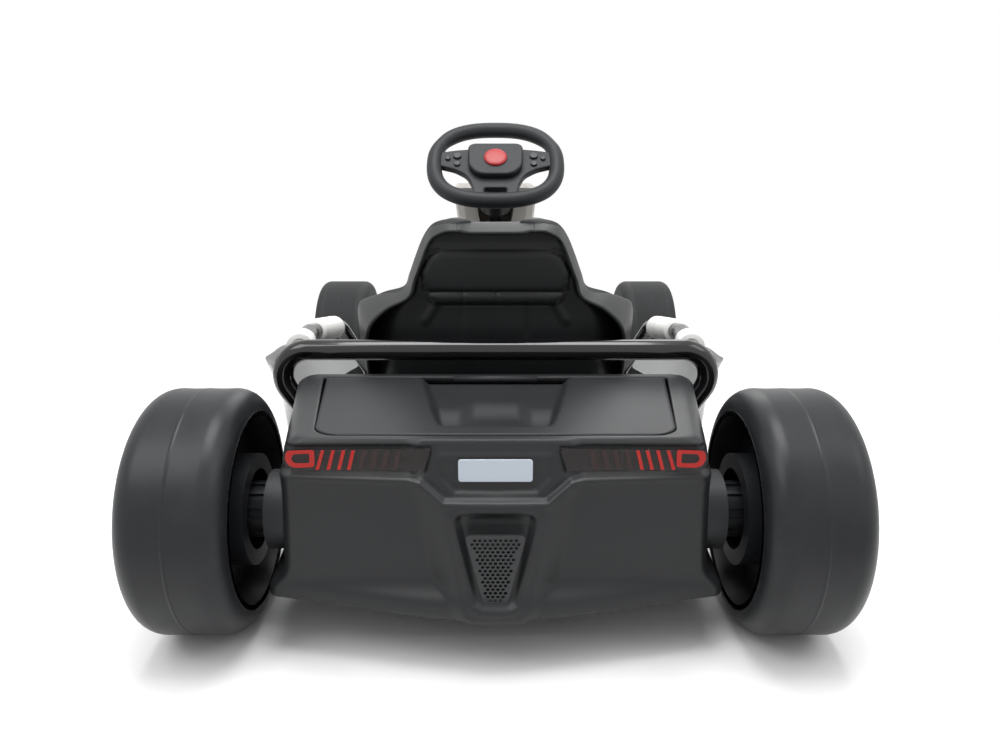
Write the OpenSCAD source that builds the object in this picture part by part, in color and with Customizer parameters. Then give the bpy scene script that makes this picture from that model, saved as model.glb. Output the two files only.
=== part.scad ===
/* [Wheelbase and wheels] */
// Distance between the rear axle and the front axle
wheelbase = 845; // [815:5:880]
// From the front axle to the front face of the bumper
front_overhang = 271; // [262:1:290]
// Outer radius of a rear wheel
rear_wheel_r = 144; // [138:1:148]
// Width of a rear wheel
rear_wheel_w = 118; // [105:1:125]
// From the middle of the kart to the inner face of a rear wheel
rear_wheel_x = 282; // [280:1:295]
// Outer radius of a front wheel
front_wheel_r = 131; // [126:1:136]
// Width of a front wheel
front_wheel_w = 107; // [95:1:112]
// From the middle of the kart to the inner face of a front wheel
front_wheel_x = 268; // [264:1:275]
// Radius of the rear axle shaft
axle_r = 8; // [7:0.5:9]
// Radial running clearance of every shaft and pin
run_gap = 0.1; // [0.05:0.01:0.1]
// Gap between pieces that are seated on each other
seat_gap = 0.3; // [0.2:0.05:0.4]

/* [Steering] */
// From the middle of the kart to a kingpin
kingpin_x = 235; // [230:1:238]
// Length of a knuckle's arm, and of the crank on the steering shaft
arm_l = 55; // [50:1:60]
// Height of the tie rod
tie_rod_z = 170; // [166:1:176]
// Angle of the steering column above the horizontal
column_angle = 49; // [46:1:52]
// From the crank to the middle of the steering wheel
column_l = 415; // [405:1:425]
// Width of the steering wheel
wheel_w = 238; // [225:1:250]
// Height of the steering wheel
wheel_h = 200; // [190:1:212]
// Thickness of the steering wheel's rim
wheel_grip = 27; // [24:0.5:30]

/* [Frame] */
// Diameter of the two long rails
rail_d = 32; // [28:1:34]
// Height of the rails' centre line
rail_z = 85; // [82:1:90]
// From the middle of the kart to a rail
rail_x = 110; // [100:1:120]
// Diameter of the rear hoop's tube
hoop_d = 28; // [25:1:30]
// Height of the rear hoop
hoop_z = 294; // [290:1:300]
// From the rear axle to the rear hoop
hoop_y = 170; // [168:1:174]
// From the middle of the kart to the hoop's outer side
hoop_x = 304; // [300:1:308]
// Diameter of the side rails' tube
side_rail_d = 25; // [22:1:26]
// Outer diameter of the foam sleeves
sleeve_d = 38; // [34:1:38]
// Thickness of the floor pan
pan_t = 3.5; // [3:0.5:5]

/* [Rear body] */
// Height of the body's top face
body_top = 266; // [262:1:268]
// Height of the body's lower edge
body_bottom = 65; // [60:1:68]
// From the rear axle to the body's front wall
body_front = 150; // [148:0.5:151]
// Wall thickness of the body
body_wall = 5; // [4:0.5:6]
// From the rear axle to the lid's front edge
lid_front = 135; // [133:1:136]
// From the rear axle back to the lid's rear edge
lid_rear = 70; // [66:1:71]
// Half of the lid's width at its front edge
lid_half_front = 222; // [216:1:224]
// Half of the lid's width at its rear edge
lid_half_rear = 195; // [190:1:198]
// Thickness of the lid
lid_t = 4; // [3.5:0.5:5]
// Gap round the lid
lid_gap = 3; // [2.5:0.5:4]
// Width of the plate
plate_w = 80; // [70:1:90]
// Height of the plate
plate_h = 27; // [24:1:28]

/* [Seat] */
// Wall thickness of the seat shell
seat_t = 4; // [3:0.5:5]

/* [Hidden] */
$fn = 48;
total_l = rear_wheel_r + wheelbase + front_overhang;
rear_axle_y = -total_l / 2 + rear_wheel_r;
spindle_r = 8;
// Where a tyre meets its rim
rear_bead_r = rear_wheel_r - 28;
front_bead_r = front_wheel_r - 47;
// From a wheel's outer face to the end of its bore, and on to the end of the shaft in it
bore_end = 14;
shaft_end = 17;
kingpin_r = 6;
// Diameter of the front beam, and how far the front wheels steer
beam_d = 30;
steer_max = 28;
rod_pin_r = 5;
// Radius of the steering shaft
shaft_r = 10;
pan_top = rail_z + rail_d / 2 + seat_gap + pan_t;

// Wall behind the body's keel, with the recesses for the yoke, the plate and the grille
keel_wall = 14;
yoke_back = -100.5;
plate_back = -95;
grille_depth = 4;
// Height at which the keel's lower lip ends
keel_z = body_bottom + 28;
// From the middle of the kart to a leg of the front bumper
bumper_x = 172;
// Cross tubes that carry the side rails, and the front edge of the floor pan
mid_tube_y = wheelbase - 465;
foot_tube_y = wheelbase - 235;
pan_front = wheelbase - 33;

// Crank foot and steering wheel centre, on the column's axis
crank_foot = [0, wheelbase - arm_l + arm_l * sin(column_angle), tie_rod_z + arm_l * cos(column_angle)];
column_dir = [0, -cos(column_angle), sin(column_angle)];
wheel_centre = crank_foot + column_l * column_dir;

// Rear body sections from the bottom up
// columns: height, half-width at front, half-width at rear, corner y, keel half-width, keel y, panel y
BODY_ROWS = [
    [body_bottom, 262, 250, -74, 32, -122, -112],
    [body_bottom + 6, 268, 257, -78, 34, -125, -116],
    [body_bottom + 20, 268, 257, -78, 40, -125, -116],
    [body_bottom + 28, 262, 246, -79, 43, -119, -104],
    [112, 256, 236, -84, 48, -113, -96],
    [205, 262, 231, -90, 66, -110, -97],
    [222, 263, 231, -92, 69, -104, -97],
    [228, 264, 231, -93, 69, -98, -98],
    [232, 263, 229, -91, 61, -97, -91],
    [body_top - 8, 261, 226, -86, 59, -95, -86],
    [body_top, 258, 222, -82, 59, -86, -84]
];

// Seat sections from the front edge of the base to the top of the back
// columns: centre y, centre z, lip y, lip z, flat half-width, lip half-width, skirt depth
SEAT_ROWS = [
    [565, 114, 565, 124, 130, 160, 6],
    [552, 128, 556, 150, 130, 172, 24],
    [520, 132, 522, 188, 130, 190, 60],
    [460, 126, 466, 222, 130, 200, 84],
    [390, 118, 410, 256, 130, 205, 100],
    [320, 114, 368, 284, 128, 205, 110],
    [268, 126, 340, 302, 124, 205, 120],
    [240, 160, 325, 314, 118, 205, 124],
    [228, 215, 314, 322, 114, 205, 118],
    [223, 270, 305, 330, 110, 202, 110],
    [220, 318, 295, 338, 107, 195, 95],
    [218, 345, 268, 352, 105, 165, 66],
    [216, 362, 246, 365, 103, 128, 44],
    [213, 385, 238, 387, 98, 117, 34],
    [210, 410, 234, 412, 92, 107, 30],
    [207, 435, 230, 437, 82, 96, 26],
    [203, 452, 222, 455, 62, 84, 20],
    [200, 459, 212, 461, 40, 66, 10]
];
// Bolster curve: share of the way out to the lip, share of the rise to the lip
BOLSTER = [[0, 0], [0.35, 0.05], [0.6, 0.3], [0.78, 0.66], [0.9, 0.92], [0.96, 1], [1, 0.985]];

// Side fairing sections from the rear to the front
// columns: y, top height, top x, lower height, lower x, inner x
FAIRING_ROWS = [
    [176, 284, 306, 274, 307, 303],
    [210, 284, 306, 247, 313, 307],
    [260, 276, 306, 206, 322, 312],
    [332, 262, 303, 148, 331, 318],
    [345, 258, 302, 78, 336, 186],
    [wheelbase - 415, 240, 296, 74, 340, 182],
    [wheelbase - 325, 214, 290, 74, 340, 182],
    [wheelbase - 255, 176, 282, 74, 334, 184],
    [wheelbase - 205, 130, 268, 76, 320, 190]
];

// Nose sections from its rear opening to its front
// columns: y from the front axle, lower half-width, upper half-width, top height, lower height
NOSE_ROWS = [
    [-72.7, 182, 118, 330, 116],
    [15, 186, 122, 302, 116],
    [95, 190, 122, 264, 114],
    [155, 206, 118, 226, 114],
    [215, 222, 108, 186, 114],
    [252, 208, 92, 152, 116],
    [266, 176, 66, 126, 118]
];

// Console sections from the bottom up
// columns: height, rear y, front y, half-width
CONSOLE_ROWS = [
    [pan_top + seat_gap, wheelbase - 177, wheelbase - 73, 60],
    [wheel_centre.z - 219, wheel_centre.y + 85, wheelbase - 73, 62],
    [wheel_centre.z - 187, wheel_centre.y + 81, wheelbase - 73, 63],
    [wheel_centre.z - 119, wheel_centre.y + 71, wheel_centre.y + 183, 68],
    [wheel_centre.z - 69, wheel_centre.y + 63, wheel_centre.y + 153, 74],
    [wheel_centre.z - 43, wheel_centre.y + 59, wheel_centre.y + 133, 77],
    [wheel_centre.z - 35, wheel_centre.y + 67, wheel_centre.y + 121, 68]
];

function unit(v) = v / norm(v);
function lerp(a, b, t) = a + (b - a) * t;

// Everything is drawn with the rear axle at y = 0 and then put in its place
module from_rear() {
    translate([0, rear_axle_y, 0]) children();
}

module on_side(side) {
    if (side > 0) children();
    else mirror([1, 0, 0]) children();
}

module both_sides() {
    children();
    mirror([1, 0, 0]) children();
}

// Turns the z axis to a direction
module aim(direction) {
    rotate([0, acos(direction.z / norm(direction)), atan2(direction.y, direction.x)]) children();
}

module rod(a, b, d) {
    translate(a) aim(b - a) cylinder(h = norm(b - a), d = d);
}

// How much of each leg a bend at corner b takes up
function bend_length(a, b, c, bend_r) =
    bend_r * tan((180 - acos(unit(a - b) * unit(c - b))) / 2);

// Points along a path of straight legs joined by round bends
function bent_path(points, bend_r, steps = 6) =
    let (last = len(points) - 1)
    concat(
        [points[0]],
        [for (i = [1 : last - 1]) let (
            a = points[i - 1],
            b = points[i],
            c = points[i + 1],
            u = unit(a - b),
            w = unit(c - b),
            turn = 180 - acos(u * w),
            centre = b + unit(u + w) * bend_r / cos(turn / 2),
            x_dir = unit(b + u * bend_length(a, b, c, bend_r) - centre),
            z_dir = unit(cross(x_dir, b + w * bend_length(a, b, c, bend_r) - centre)),
            y_dir = cross(z_dir, x_dir)
        ) for (k = [0 : steps])
            centre + bend_r * (x_dir * cos(turn * k / steps) + y_dir * sin(turn * k / steps))],
        [points[last]]
    );

// A round tube along a path, where across is a direction that the path never takes
module swept_tube(path, d, across, sides = 20) {
    last = len(path) - 1;
    loft([for (i = [0 : last]) let (
        ahead = unit(path[min(i + 1, last)] - path[max(i - 1, 0)]),
        x_dir = unit(cross(across, ahead)),
        y_dir = cross(ahead, x_dir)
    ) [for (k = [0 : sides - 1])
        path[i] + d / 2 * (x_dir * cos(360 * k / sides) + y_dir * sin(360 * k / sides))]]);
}

// A closed solid through rings of equal length, which run anticlockwise seen from the last ring
module loft(rings) {
    n = len(rings[0]);
    last = len(rings) - 1;
    polyhedron(
        points = [for (ring = rings) for (p = ring) p],
        faces = concat(
            [[for (j = [0 : n - 1]) j]],
            [[for (j = [n - 1 : -1 : 0]) last * n + j]],
            ring_faces(last, n)
        )
    );
}

// A hollow shell whose last ring joins the first again
module ring_shell(rings) {
    polyhedron(
        points = [for (ring = rings) for (p = ring) p],
        faces = [for (f = ring_faces(len(rings), len(rings[0])))
            [for (v = f) v % (len(rings) * len(rings[0]))]]
    );
}

// Triangles between each of the first rings and the one after it
function ring_faces(rings, n) = [
    for (i = [0 : rings - 1]) for (j = [0 : n - 1]) for (half = [0, 1])
        let (
            next = (i + 1) * n,
            k = (j + 1) % n
        )
        half == 0 ? [i * n + j, next + k, i * n + k] : [i * n + j, next + j, next + k]
];

function grid_normal(grid, i, j) =
    let (
        rows = len(grid),
        cols = len(grid[0]),
        along = grid[min(i + 1, rows - 1)][j] - grid[max(i - 1, 0)][j],
        across = grid[i][min(j + 1, cols - 1)] - grid[i][max(j - 1, 0)]
    )
    unit(cross(along, across));

// A sheet of even thickness through a grid of points, thickened along its normals
module sheet(grid, t) {
    rows = len(grid);
    cols = len(grid[0]);
    n = rows * cols;
    outer = [for (row = grid) for (p = row) p];
    inner = [for (i = [0 : rows - 1]) for (j = [0 : cols - 1]) grid[i][j] + t * grid_normal(grid, i, j)];
    quads = [for (i = [0 : rows - 2]) for (j = [0 : cols - 2])
        [i * cols + j, i * cols + j + 1, (i + 1) * cols + j + 1, (i + 1) * cols + j]];
    edge = concat(
        [for (j = [0 : cols - 2]) [j, j + 1]],
        [for (i = [0 : rows - 2]) [i * cols + cols - 1, (i + 1) * cols + cols - 1]],
        [for (j = [cols - 1 : -1 : 1]) [(rows - 1) * cols + j, (rows - 1) * cols + j - 1]],
        [for (i = [rows - 1 : -1 : 1]) [i * cols, (i - 1) * cols]]
    );
    polyhedron(
        points = concat(outer, inner),
        faces = concat(
            [for (q = quads) [q[0], q[1], q[2]]],
            [for (q = quads) [q[0], q[2], q[3]]],
            [for (q = quads) [q[2] + n, q[1] + n, q[0] + n]],
            [for (q = quads) [q[3] + n, q[2] + n, q[0] + n]],
            [for (e = edge) [e[1], e[0], e[0] + n]],
            [for (e = edge) [e[1], e[0] + n, e[1] + n]]
        )
    );
}

// Rounded rectangle, centred
module rounded_plate(w, h, r, t) {
    linear_extrude(t) union() {
        square([w - 2 * r, h], center = true);
        square([w, h - 2 * r], center = true);
        for (x = [-1, 1]) for (y = [-1, 1]) translate([x * (w / 2 - r), y * (h / 2 - r)]) circle(r);
    }
}

module lower_frame() {
    beam_z = front_wheel_r;
    ear_gap = 20.4;
    color("#202225") from_rear() {
        difference() {
            union() {
                for (side = [-1, 1]) {
                    rod([side * rail_x, -60, rail_z], [side * rail_x, wheelbase + 165, rail_z], rail_d);
                    translate([side * rail_x - 3, -36, rail_z]) cube([6, 72, rear_wheel_r + 24 - rail_z]);
                }
                rod([-236, -42, rail_z], [236, -42, rail_z], 24);
                rod([-215, hoop_y, rail_z], [215, hoop_y, rail_z], 26);
                for (y = [mid_tube_y, foot_tube_y]) rod([-318, y, rail_z], [318, y, rail_z], 24);
                rod([-bumper_x - 16, wheelbase + 165, rail_z], [bumper_x + 16, wheelbase + 165, rail_z], 24);
                rod([-kingpin_x + 24, wheelbase, beam_z], [kingpin_x - 24, wheelbase, beam_z], beam_d);
                for (side = [-1, 1]) {
                    rod([side * rail_x, wheelbase, rail_z], [side * rail_x, wheelbase, beam_z], 28);
                    for (z = [beam_z - ear_gap - 6, beam_z + ear_gap]) {
                        translate([side * kingpin_x, wheelbase, z]) cylinder(h = 6, r = 16);
                        translate([side * (kingpin_x - 14) - 14, wheelbase - 16, z]) cube([28, 32, 6]);
                    }
                    translate([side * (kingpin_x - 25) - 3, wheelbase - 16, beam_z - ear_gap - 6])
                        cube([6, 32, 2 * ear_gap + 12]);
                    translate([side * kingpin_x, wheelbase, beam_z - ear_gap - 8])
                        cylinder(h = 2 * ear_gap + 16, r = kingpin_r);
                }
                translate([-3, wheelbase + 160, 46]) cube([6, 40, 42]);
            }
            rod([-rail_x - 20, 0, rear_wheel_r], [rail_x + 20, 0, rear_wheel_r], 2 * (axle_r + run_gap));
            rod([-20, wheelbase + 184, 60], [20, wheelbase + 184, 60], 14);
        }
        translate([0, 0, rear_wheel_r + 20]) difference() {
            translate([-rail_x + 3, -36, 0]) cube([2 * rail_x - 6, 72, 4]);
            translate([0, 0, -1]) cylinder(h = 6, r = 20);
        }
    }
}

module rear_hoop() {
    foot = [190, hoop_y, rail_z + 13 + seat_gap + 8];
    bend_r = 36;
    // The bend takes up more of the leg than its own radius
    corner_x = hoop_x - hoop_d / 2 + 31;
    color("#0c0d0f") from_rear() swept_tube(bent_path([
        foot,
        [corner_x, hoop_y, hoop_z],
        [-corner_x, hoop_y, hoop_z],
        [-foot.x, foot.y, foot.z]
    ], bend_r), hoop_d, [0, 1, 0]);
}

// The side rail's corners on the right side
SIDE_RAIL = [
    [270, hoop_y + hoop_d / 2 + 5 * seat_gap, hoop_z - 5],
    [281, 300, hoop_z - 8],
    [265, wheelbase - 383, hoop_z - 37],
    [240, foot_tube_y, rail_z + 12 + seat_gap + 32],
    [240, foot_tube_y, rail_z + 12 + seat_gap]
];

module side_rails() {
    color("#0c0d0f") from_rear() both_sides()
        swept_tube(bent_path(SIDE_RAIL, 60, 5), side_rail_d, [1, 0, 0], 16);
}

module foam_sleeves() {
    bore = side_rail_d + 2 * seat_gap;
    color("#f2f2ef") from_rear() both_sides() {
        for (span = [[0, 0.1, 0.52], [1, 0.14, 0.8]]) {
            a = lerp(SIDE_RAIL[span[0]], SIDE_RAIL[span[0] + 1], span[1]);
            b = lerp(SIDE_RAIL[span[0]], SIDE_RAIL[span[0] + 1], span[2]);
            difference() {
                rod(a + unit(b - a) * 8, b, sleeve_d);
                rod(a, b + unit(b - a) * 8, bore);
            }
        }
    }
}

module floor_pan() {
    z = rail_z + rail_d / 2 + seat_gap;
    color("#2a2c30") from_rear() translate([0, 0, z]) linear_extrude(pan_t)
        polygon([
            [-172, 190], [172, 190], [172, pan_front - 112],
            [150, pan_front], [-150, pan_front], [-172, pan_front - 112]
        ]);
}

function fairing_section(row) =
    let (y = row[0], z_top = row[1], x_top = row[2], z_low = row[3], x_low = row[4], x_in = row[5])
    [
        [x_top - 4, y, z_top + 2],
        [x_top + 4, y, z_top - 2],
        [lerp(x_top, x_low, 0.6) + 5, y, lerp(z_top, z_low, 0.35)],
        [x_low + 2, y, lerp(z_top, z_low, 0.75)],
        [x_low - 1, y, lerp(z_top, z_low, 0.93)],
        [x_low - 6, y, z_low - 1],
        [lerp(x_low, x_in, 0.5), y, z_low - 3],
        [x_in, y, z_low - 3]
    ];

module side_fairing(side) {
    color("#eeeeec") from_rear() on_side(side) difference() {
        sheet([for (row = FAIRING_ROWS) fairing_section(row)], 3);
        for (y = [mid_tube_y, foot_tube_y])
            rod([0, y, rail_z], [318 + seat_gap, y, rail_z], 24 + 2 * seat_gap);
    }
}

// One half of a body section, from the middle of the rear to the middle of the front
function body_half(row, inset) =
    let (
        wf = row[1] - inset,
        wr = row[2] - inset,
        yc = row[3] + inset,
        keel_y = inset == 0 ? row[5] : max(row[5] + inset, min(plate_back + 3, row[5] + keel_wall)),
        r = 14
    )
    concat(
        [[0, keel_y], [row[4], keel_y], [row[4] + 7, row[6] + inset]],
        [for (a = [0 : 22.5 : 90]) [wr - r + r * sin(a), yc + r - r * cos(a)]],
        [[wf, body_front - inset - 10], [wf - 10, body_front - inset]]
    );

// Outlines in the rear view, from the middle out to the right: x, height
YOKE = [[0, 205.5], [54, 205.5], [79, 225], [79, 240], [0, 240]];
PLATE_RECESS = [[0, 211], [43, 211], [57, 228], [60, 249], [57, 252], [0, 252]];
GRILLE_RECESS = [[0, 86], [15, 87], [21.5, 92], [40.5, 186], [36, 190], [0, 190]];

module mirrored_polygon(half) {
    polygon(concat(half, [for (i = [len(half) - 1 : -1 : 0]) if (half[i].x > 0) [-half[i].x, half[i].y]]));
}

// Cuts an outline in the rear view into the body, from behind as far as depth
module cut_from_behind(depth) {
    translate([0, depth, 0]) rotate([90, 0, 0]) linear_extrude(100) children();
}

module lid_outline(inset) {
    r = 26 - inset;
    w_front = lid_half_front - inset;
    w_rear = lid_half_rear - inset;
    front = lid_front - inset;
    rear = -lid_rear + inset;
    polygon(concat(
        [[-w_front, front], [w_front, front]],
        [for (a = [0 : 18 : 90]) [w_rear - r + r * cos(a), rear + r - r * sin(a)]],
        [for (a = [90 : -18 : 0]) [-w_rear + r - r * cos(a), rear + r - r * sin(a)]]
    ));
}

hinge_y = lid_front + 6;
hinge_z = body_top - lid_t;
hinge_half = 62;

// The lid's opening, with as many points as a body ring
function opening_half() =
    let (
        wf = lid_half_front + lid_gap,
        wr = lid_half_rear + lid_gap,
        r = 26 + lid_gap,
        rear = -lid_rear - lid_gap,
        keel = BODY_ROWS[len(BODY_ROWS) - 1][4]
    )
    concat(
        [[0, rear], [keel, rear], [keel + 7, rear]],
        [for (a = [0 : 22.5 : 90]) [wr - r + r * sin(a), rear + r - r * cos(a)]],
        [[wf, lid_front + lid_gap - 2], [wf - 2, lid_front + lid_gap]]
    );

function full_ring(half, z) = concat(
    [for (p = half) [p.x, p.y, z]],
    [for (i = [len(half) - 1 : -1 : 1]) [-half[i].x, half[i].y, z]]
);

module rear_body() {
    last = len(BODY_ROWS) - 1;
    ledge_top = body_top - lid_t - seat_gap;
    color("#2b2d30") from_rear() difference() {
        union() {
            ring_shell(concat(
                [for (row = BODY_ROWS) full_ring(body_half(row, 0), row[0])],
                [full_ring(opening_half(), body_top), full_ring(opening_half(), body_top - body_wall)],
                [full_ring(body_half(BODY_ROWS[last], body_wall), body_top - body_wall)],
                [for (i = [last - 1 : -1 : 0]) full_ring(body_half(BODY_ROWS[i], body_wall), BODY_ROWS[i][0])]
            ));
            translate([0, 0, ledge_top - 4]) difference() {
                linear_extrude(4) lid_outline(-lid_gap - 1);
                translate([0, 0, -1]) linear_extrude(6) lid_outline(6);
            }
        }
        rod([-400, 0, rear_wheel_r], [400, 0, rear_wheel_r], 96 + 2 * seat_gap);
        translate([-hinge_half, lid_front - 12, hinge_z - 12]) cube([2 * hinge_half, 24, 40]);
        cut_from_behind(yoke_back) mirrored_polygon(YOKE);
        cut_from_behind(plate_back) mirrored_polygon(PLATE_RECESS);
        grille_place(grille_depth) translate([0, -keel_z, 0]) linear_extrude(30)
            mirrored_polygon(GRILLE_RECESS);
        for (side = [-1, 1])
            translate([side * rail_x - rail_d / 2 - seat_gap, body_front - 20, body_bottom - 10])
                cube([rail_d + 2 * seat_gap, 40, rail_z + rail_d / 2 + seat_gap - body_bottom + 10]);
    }
    color("#2b2d30") from_rear()
        rod([-hinge_half - 4, hinge_y, hinge_z], [hinge_half + 4, hinge_y, hinge_z], 5);
}

// Puts a front view, x to the right and y up, on the keel's sloping rear face
module grille_place(depth) {
    slope = atan((119 - 111) / (190 - 93));
    translate([0, -119 + depth, keel_z]) rotate([90 + slope, 0, 0]) children();
}

module grille_outline(grow) {
    polygon([
        [-13 - grow, -4 - grow], [13 + grow, -4 - grow],
        [32 + grow, 82 + grow], [-32 - grow, 82 + grow]
    ]);
}

module speaker_grille() {
    pitch = 7.6;
    color("#191a1c") from_rear() grille_place(grille_depth - seat_gap) linear_extrude(3) difference() {
        grille_outline(0);
        for (row = [0 : 9]) for (col = [-4 : 4]) {
            x = (col + (row % 2) / 2) * pitch;
            y = 2 + row * pitch * 0.98;
            if (abs(x) < 9 + y * 0.22) translate([x, y]) circle(3, $fn = 6);
        }
    }
}

module lens_outline(grow) {
    polygon([
        [66 - grow, 27 + grow], [222 + grow, 25 + grow], [224 + grow, 8],
        [218 + grow, 1 - grow], [74 - grow, 1 - grow]
    ]);
}

// Puts a front view on the sloping lamp band
module band_place(out) {
    slope = atan(5 / (body_top - 8 - 232));
    translate([0, -91, 232]) rotate([90 - slope, 0, 0]) translate([0, 0, out]) children();
}

module tail_lens() {
    color("#3a1214") from_rear() both_sides() band_place(2.1) linear_extrude(2.4) lens_outline(-1);
}

module lamp_bars() {
    color("#e23a30") from_rear() both_sides() band_place(seat_gap) linear_extrude(1.5) {
        for (x = [104 : 24 : 176]) translate([x, 5]) square([7, 16]);
        difference() {
            translate([192, 3]) square([26, 20]);
            translate([197, 8]) square([16, 10]);
        }
    }
}

module plate() {
    color("#dfe6ee") from_rear() translate([0, plate_back - seat_gap, 235.5]) rotate([90, 0, 0])
        rounded_plate(plate_w, plate_h, 3, 2);
}

module battery() {
    z = rear_wheel_r + 24 + seat_gap;
    color("#3b3f45") from_rear() translate([-92, -36, z]) cube([184, 124, body_top - 42 - z]);
}

module gearbox(side) {
    color("#26282b") from_rear() on_side(side) difference() {
        union() {
            translate([128, 0, rear_wheel_r]) rotate([0, 90, 0]) cylinder(h = 110, r = 36);
            translate([232, 0, rear_wheel_r]) rotate([0, 90, 0]) cylinder(h = 33, r = 47);
        }
        rod([100, 0, rear_wheel_r], [300, 0, rear_wheel_r], 2 * (axle_r + run_gap));
    }
}

module rear_axle() {
    end = rear_wheel_x + rear_wheel_w - shaft_end;
    color("#8c9096") from_rear() rod([-end, 0, rear_wheel_r], [end, 0, rear_wheel_r], 2 * axle_r);
}

// Half a seat section, from the middle out to the end of the skirt
function seat_half(row) =
    let (
        centre = [0, row[0], row[1]],
        up = [0, row[2] - row[0], row[3] - row[1]],
        back = -unit(up),
        flat = row[4],
        out = row[5]
    )
    concat(
        [centre, centre + [flat / 2, 0, 0]],
        [for (b = BOLSTER) centre + [lerp(flat, out, b[0]), 0, 0] + up * b[1]],
        [centre + up * 0.94 + [out + 1, 0, 0], centre + up * 0.96 + back * row[6] + [out + 1, 0, 0]]
    );

function seat_section(row) =
    let (half = seat_half(row))
    concat(
        [for (i = [len(half) - 1 : -1 : 1]) [-half[i].x, half[i].y, half[i].z]],
        half
    );

module seat_shell() {
    color("#2b2d30") from_rear() sheet([for (row = SEAT_ROWS) seat_section(row)], seat_t);
}

module seat_runners() {
    under = seat_gap;
    color("#202225") from_rear() for (x = [-96, 90]) translate([x, 0, 0])
        rotate([90, 0, 90]) linear_extrude(6)
            polygon([
                [316, pan_top + seat_gap], [520, pan_top + seat_gap], [520, 132 - under - 0.5],
                [460, 126 - under], [390, 118 - under], [316, 114 - under]
            ]);
}

function nose_section(row) =
    let (y = wheelbase + row[0], low = row[1], high = row[2], top = row[3], base = row[4])
    [
        [-low, y, base],
        [-low, y, lerp(base, top, 0.35)],
        [-lerp(low, high, 0.35), y, lerp(base, top, 0.75)],
        [-high, y, lerp(base, top, 0.94)],
        [-high / 2, y, lerp(base, top, 0.99)],
        [0, y, top],
        [high / 2, y, lerp(base, top, 0.99)],
        [high, y, lerp(base, top, 0.94)],
        [lerp(low, high, 0.35), y, lerp(base, top, 0.75)],
        [low, y, lerp(base, top, 0.35)],
        [low, y, base]
    ];

lamp_x = 122;
lamp_z = 148;
lamp_r = 25;

module nose_cowl() {
    color("#f0f0ee") from_rear() difference() {
        loft([for (row = NOSE_ROWS) nose_section(row)]);
        loft([for (i = [0 : len(NOSE_ROWS) - 1])
            let (row = NOSE_ROWS[i], shift = i == 0 ? -5 : i == len(NOSE_ROWS) - 1 ? -4 : 0)
            nose_section([row[0] + shift, row[1] - 4, row[2] - 3, row[3] - 4, row[4] - 5])]);
        for (side = [-1, 1]) translate([side * lamp_x, wheelbase + 100, lamp_z]) rotate([-90, 0, 0])
            cylinder(h = 200, r = lamp_r + seat_gap);
        // Notches for the front beam and its struts, and slots for the tie rod's swing
        translate([-300, wheelbase - beam_d / 2 - 3, 0])
            cube([600, beam_d + 6, front_wheel_r + beam_d / 2 + 3]);
        translate([-300, wheelbase - arm_l - 12, tie_rod_z - 12])
            cube([600, arm_l * (1 - cos(steer_max)) + 24, 24]);
    }
}

module headlamps() {
    color("#dfe6ea") from_rear() both_sides() translate([lamp_x, wheelbase + 206, lamp_z])
        rotate([-90, 0, 0]) rotate_extrude()
            polygon([[0, 0], [lamp_r - 3, 0], [lamp_r, 6], [lamp_r, 30], [lamp_r - 5, 34], [0, 36]]);
}

module front_bumper() {
    y = wheelbase + front_overhang - 14;
    foot_y = wheelbase + 165 + 12 + seat_gap;
    color("#0c0d0f") from_rear() swept_tube(bent_path([
        [-bumper_x, foot_y, rail_z],
        [-bumper_x, y, rail_z],
        [bumper_x, y, rail_z],
        [bumper_x, foot_y, rail_z]
    ], 40), 28, [0, 0, 1]);
}

function console_ring(row, z, inset) =
    let (rear = row[1] + inset, front = row[2] - inset, w = row[3] - inset, c = 16)
    [
        [-w + c, rear, z], [w - c, rear, z], [w - 4, rear + 5, z], [w, rear + c, z],
        [w, front - c, z], [w - c, front, z], [-w + c, front, z], [-w, front - c, z],
        [-w, rear + c, z], [-w + 4, rear + 5, z]
    ];

module console() {
    last = len(CONSOLE_ROWS) - 1;
    bearing_at = column_l - 215;
    color("#e9e6e0") from_rear() translate(crank_foot) aim(column_dir) difference() {
        translate([-30, -63, bearing_at]) cube([60, 126, 10]);
        cylinder(h = column_l, r = shaft_r + run_gap);
    }
    color("#e9e6e0") from_rear() difference() {
        loft([for (row = CONSOLE_ROWS) console_ring(row, row[0], 0)]);
        loft([for (i = [0 : last])
            let (row = CONSOLE_ROWS[i], z = row[0] + (i == 0 ? -5 : i == last ? -4 : 0))
            console_ring(row, z, 4)]);
        translate(crank_foot) aim(column_dir) cylinder(h = column_l, r = 33);
        translate([-44, wheelbase - 105, pan_top + 40]) cube([88, 60, 175]);
    }
}

module pedal(side) {
    color("#1b1c1e") from_rear() translate([side * 122, wheelbase - arm_l - 90, pan_top + seat_gap]) {
        translate([-22, -8, 0]) cube([44, 46, 10]);
        translate([0, 16, 5]) rotate([-28, 0, 0]) cylinder(h = 60, r = 7);
        translate([0, 44, 64]) rotate([62, 0, 0]) rounded_plate(58, 92, 10, 8);
    }
}

// Draws in the steering wheel's plane: x to the right, y up the wheel, z towards the driver
module wheel_plane() {
    translate(wheel_centre) rotate([90 - column_angle, 0, 0]) children();
}

grip_steps = 60;

// The middle of the grip at an angle: a wide rounded shape, flattened at the bottom
function grip_middle(a, half, top) =
    let (
        reach = pow(pow(abs(cos(a)) / half, 2.5) + pow(abs(sin(a)) / top, 2.5), -1 / 2.5),
        y = reach * sin(a)
    )
    [reach * cos(a), y < -0.7 * top ? lerp(-0.7 * top, y, 0.92) : y, 0];

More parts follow.
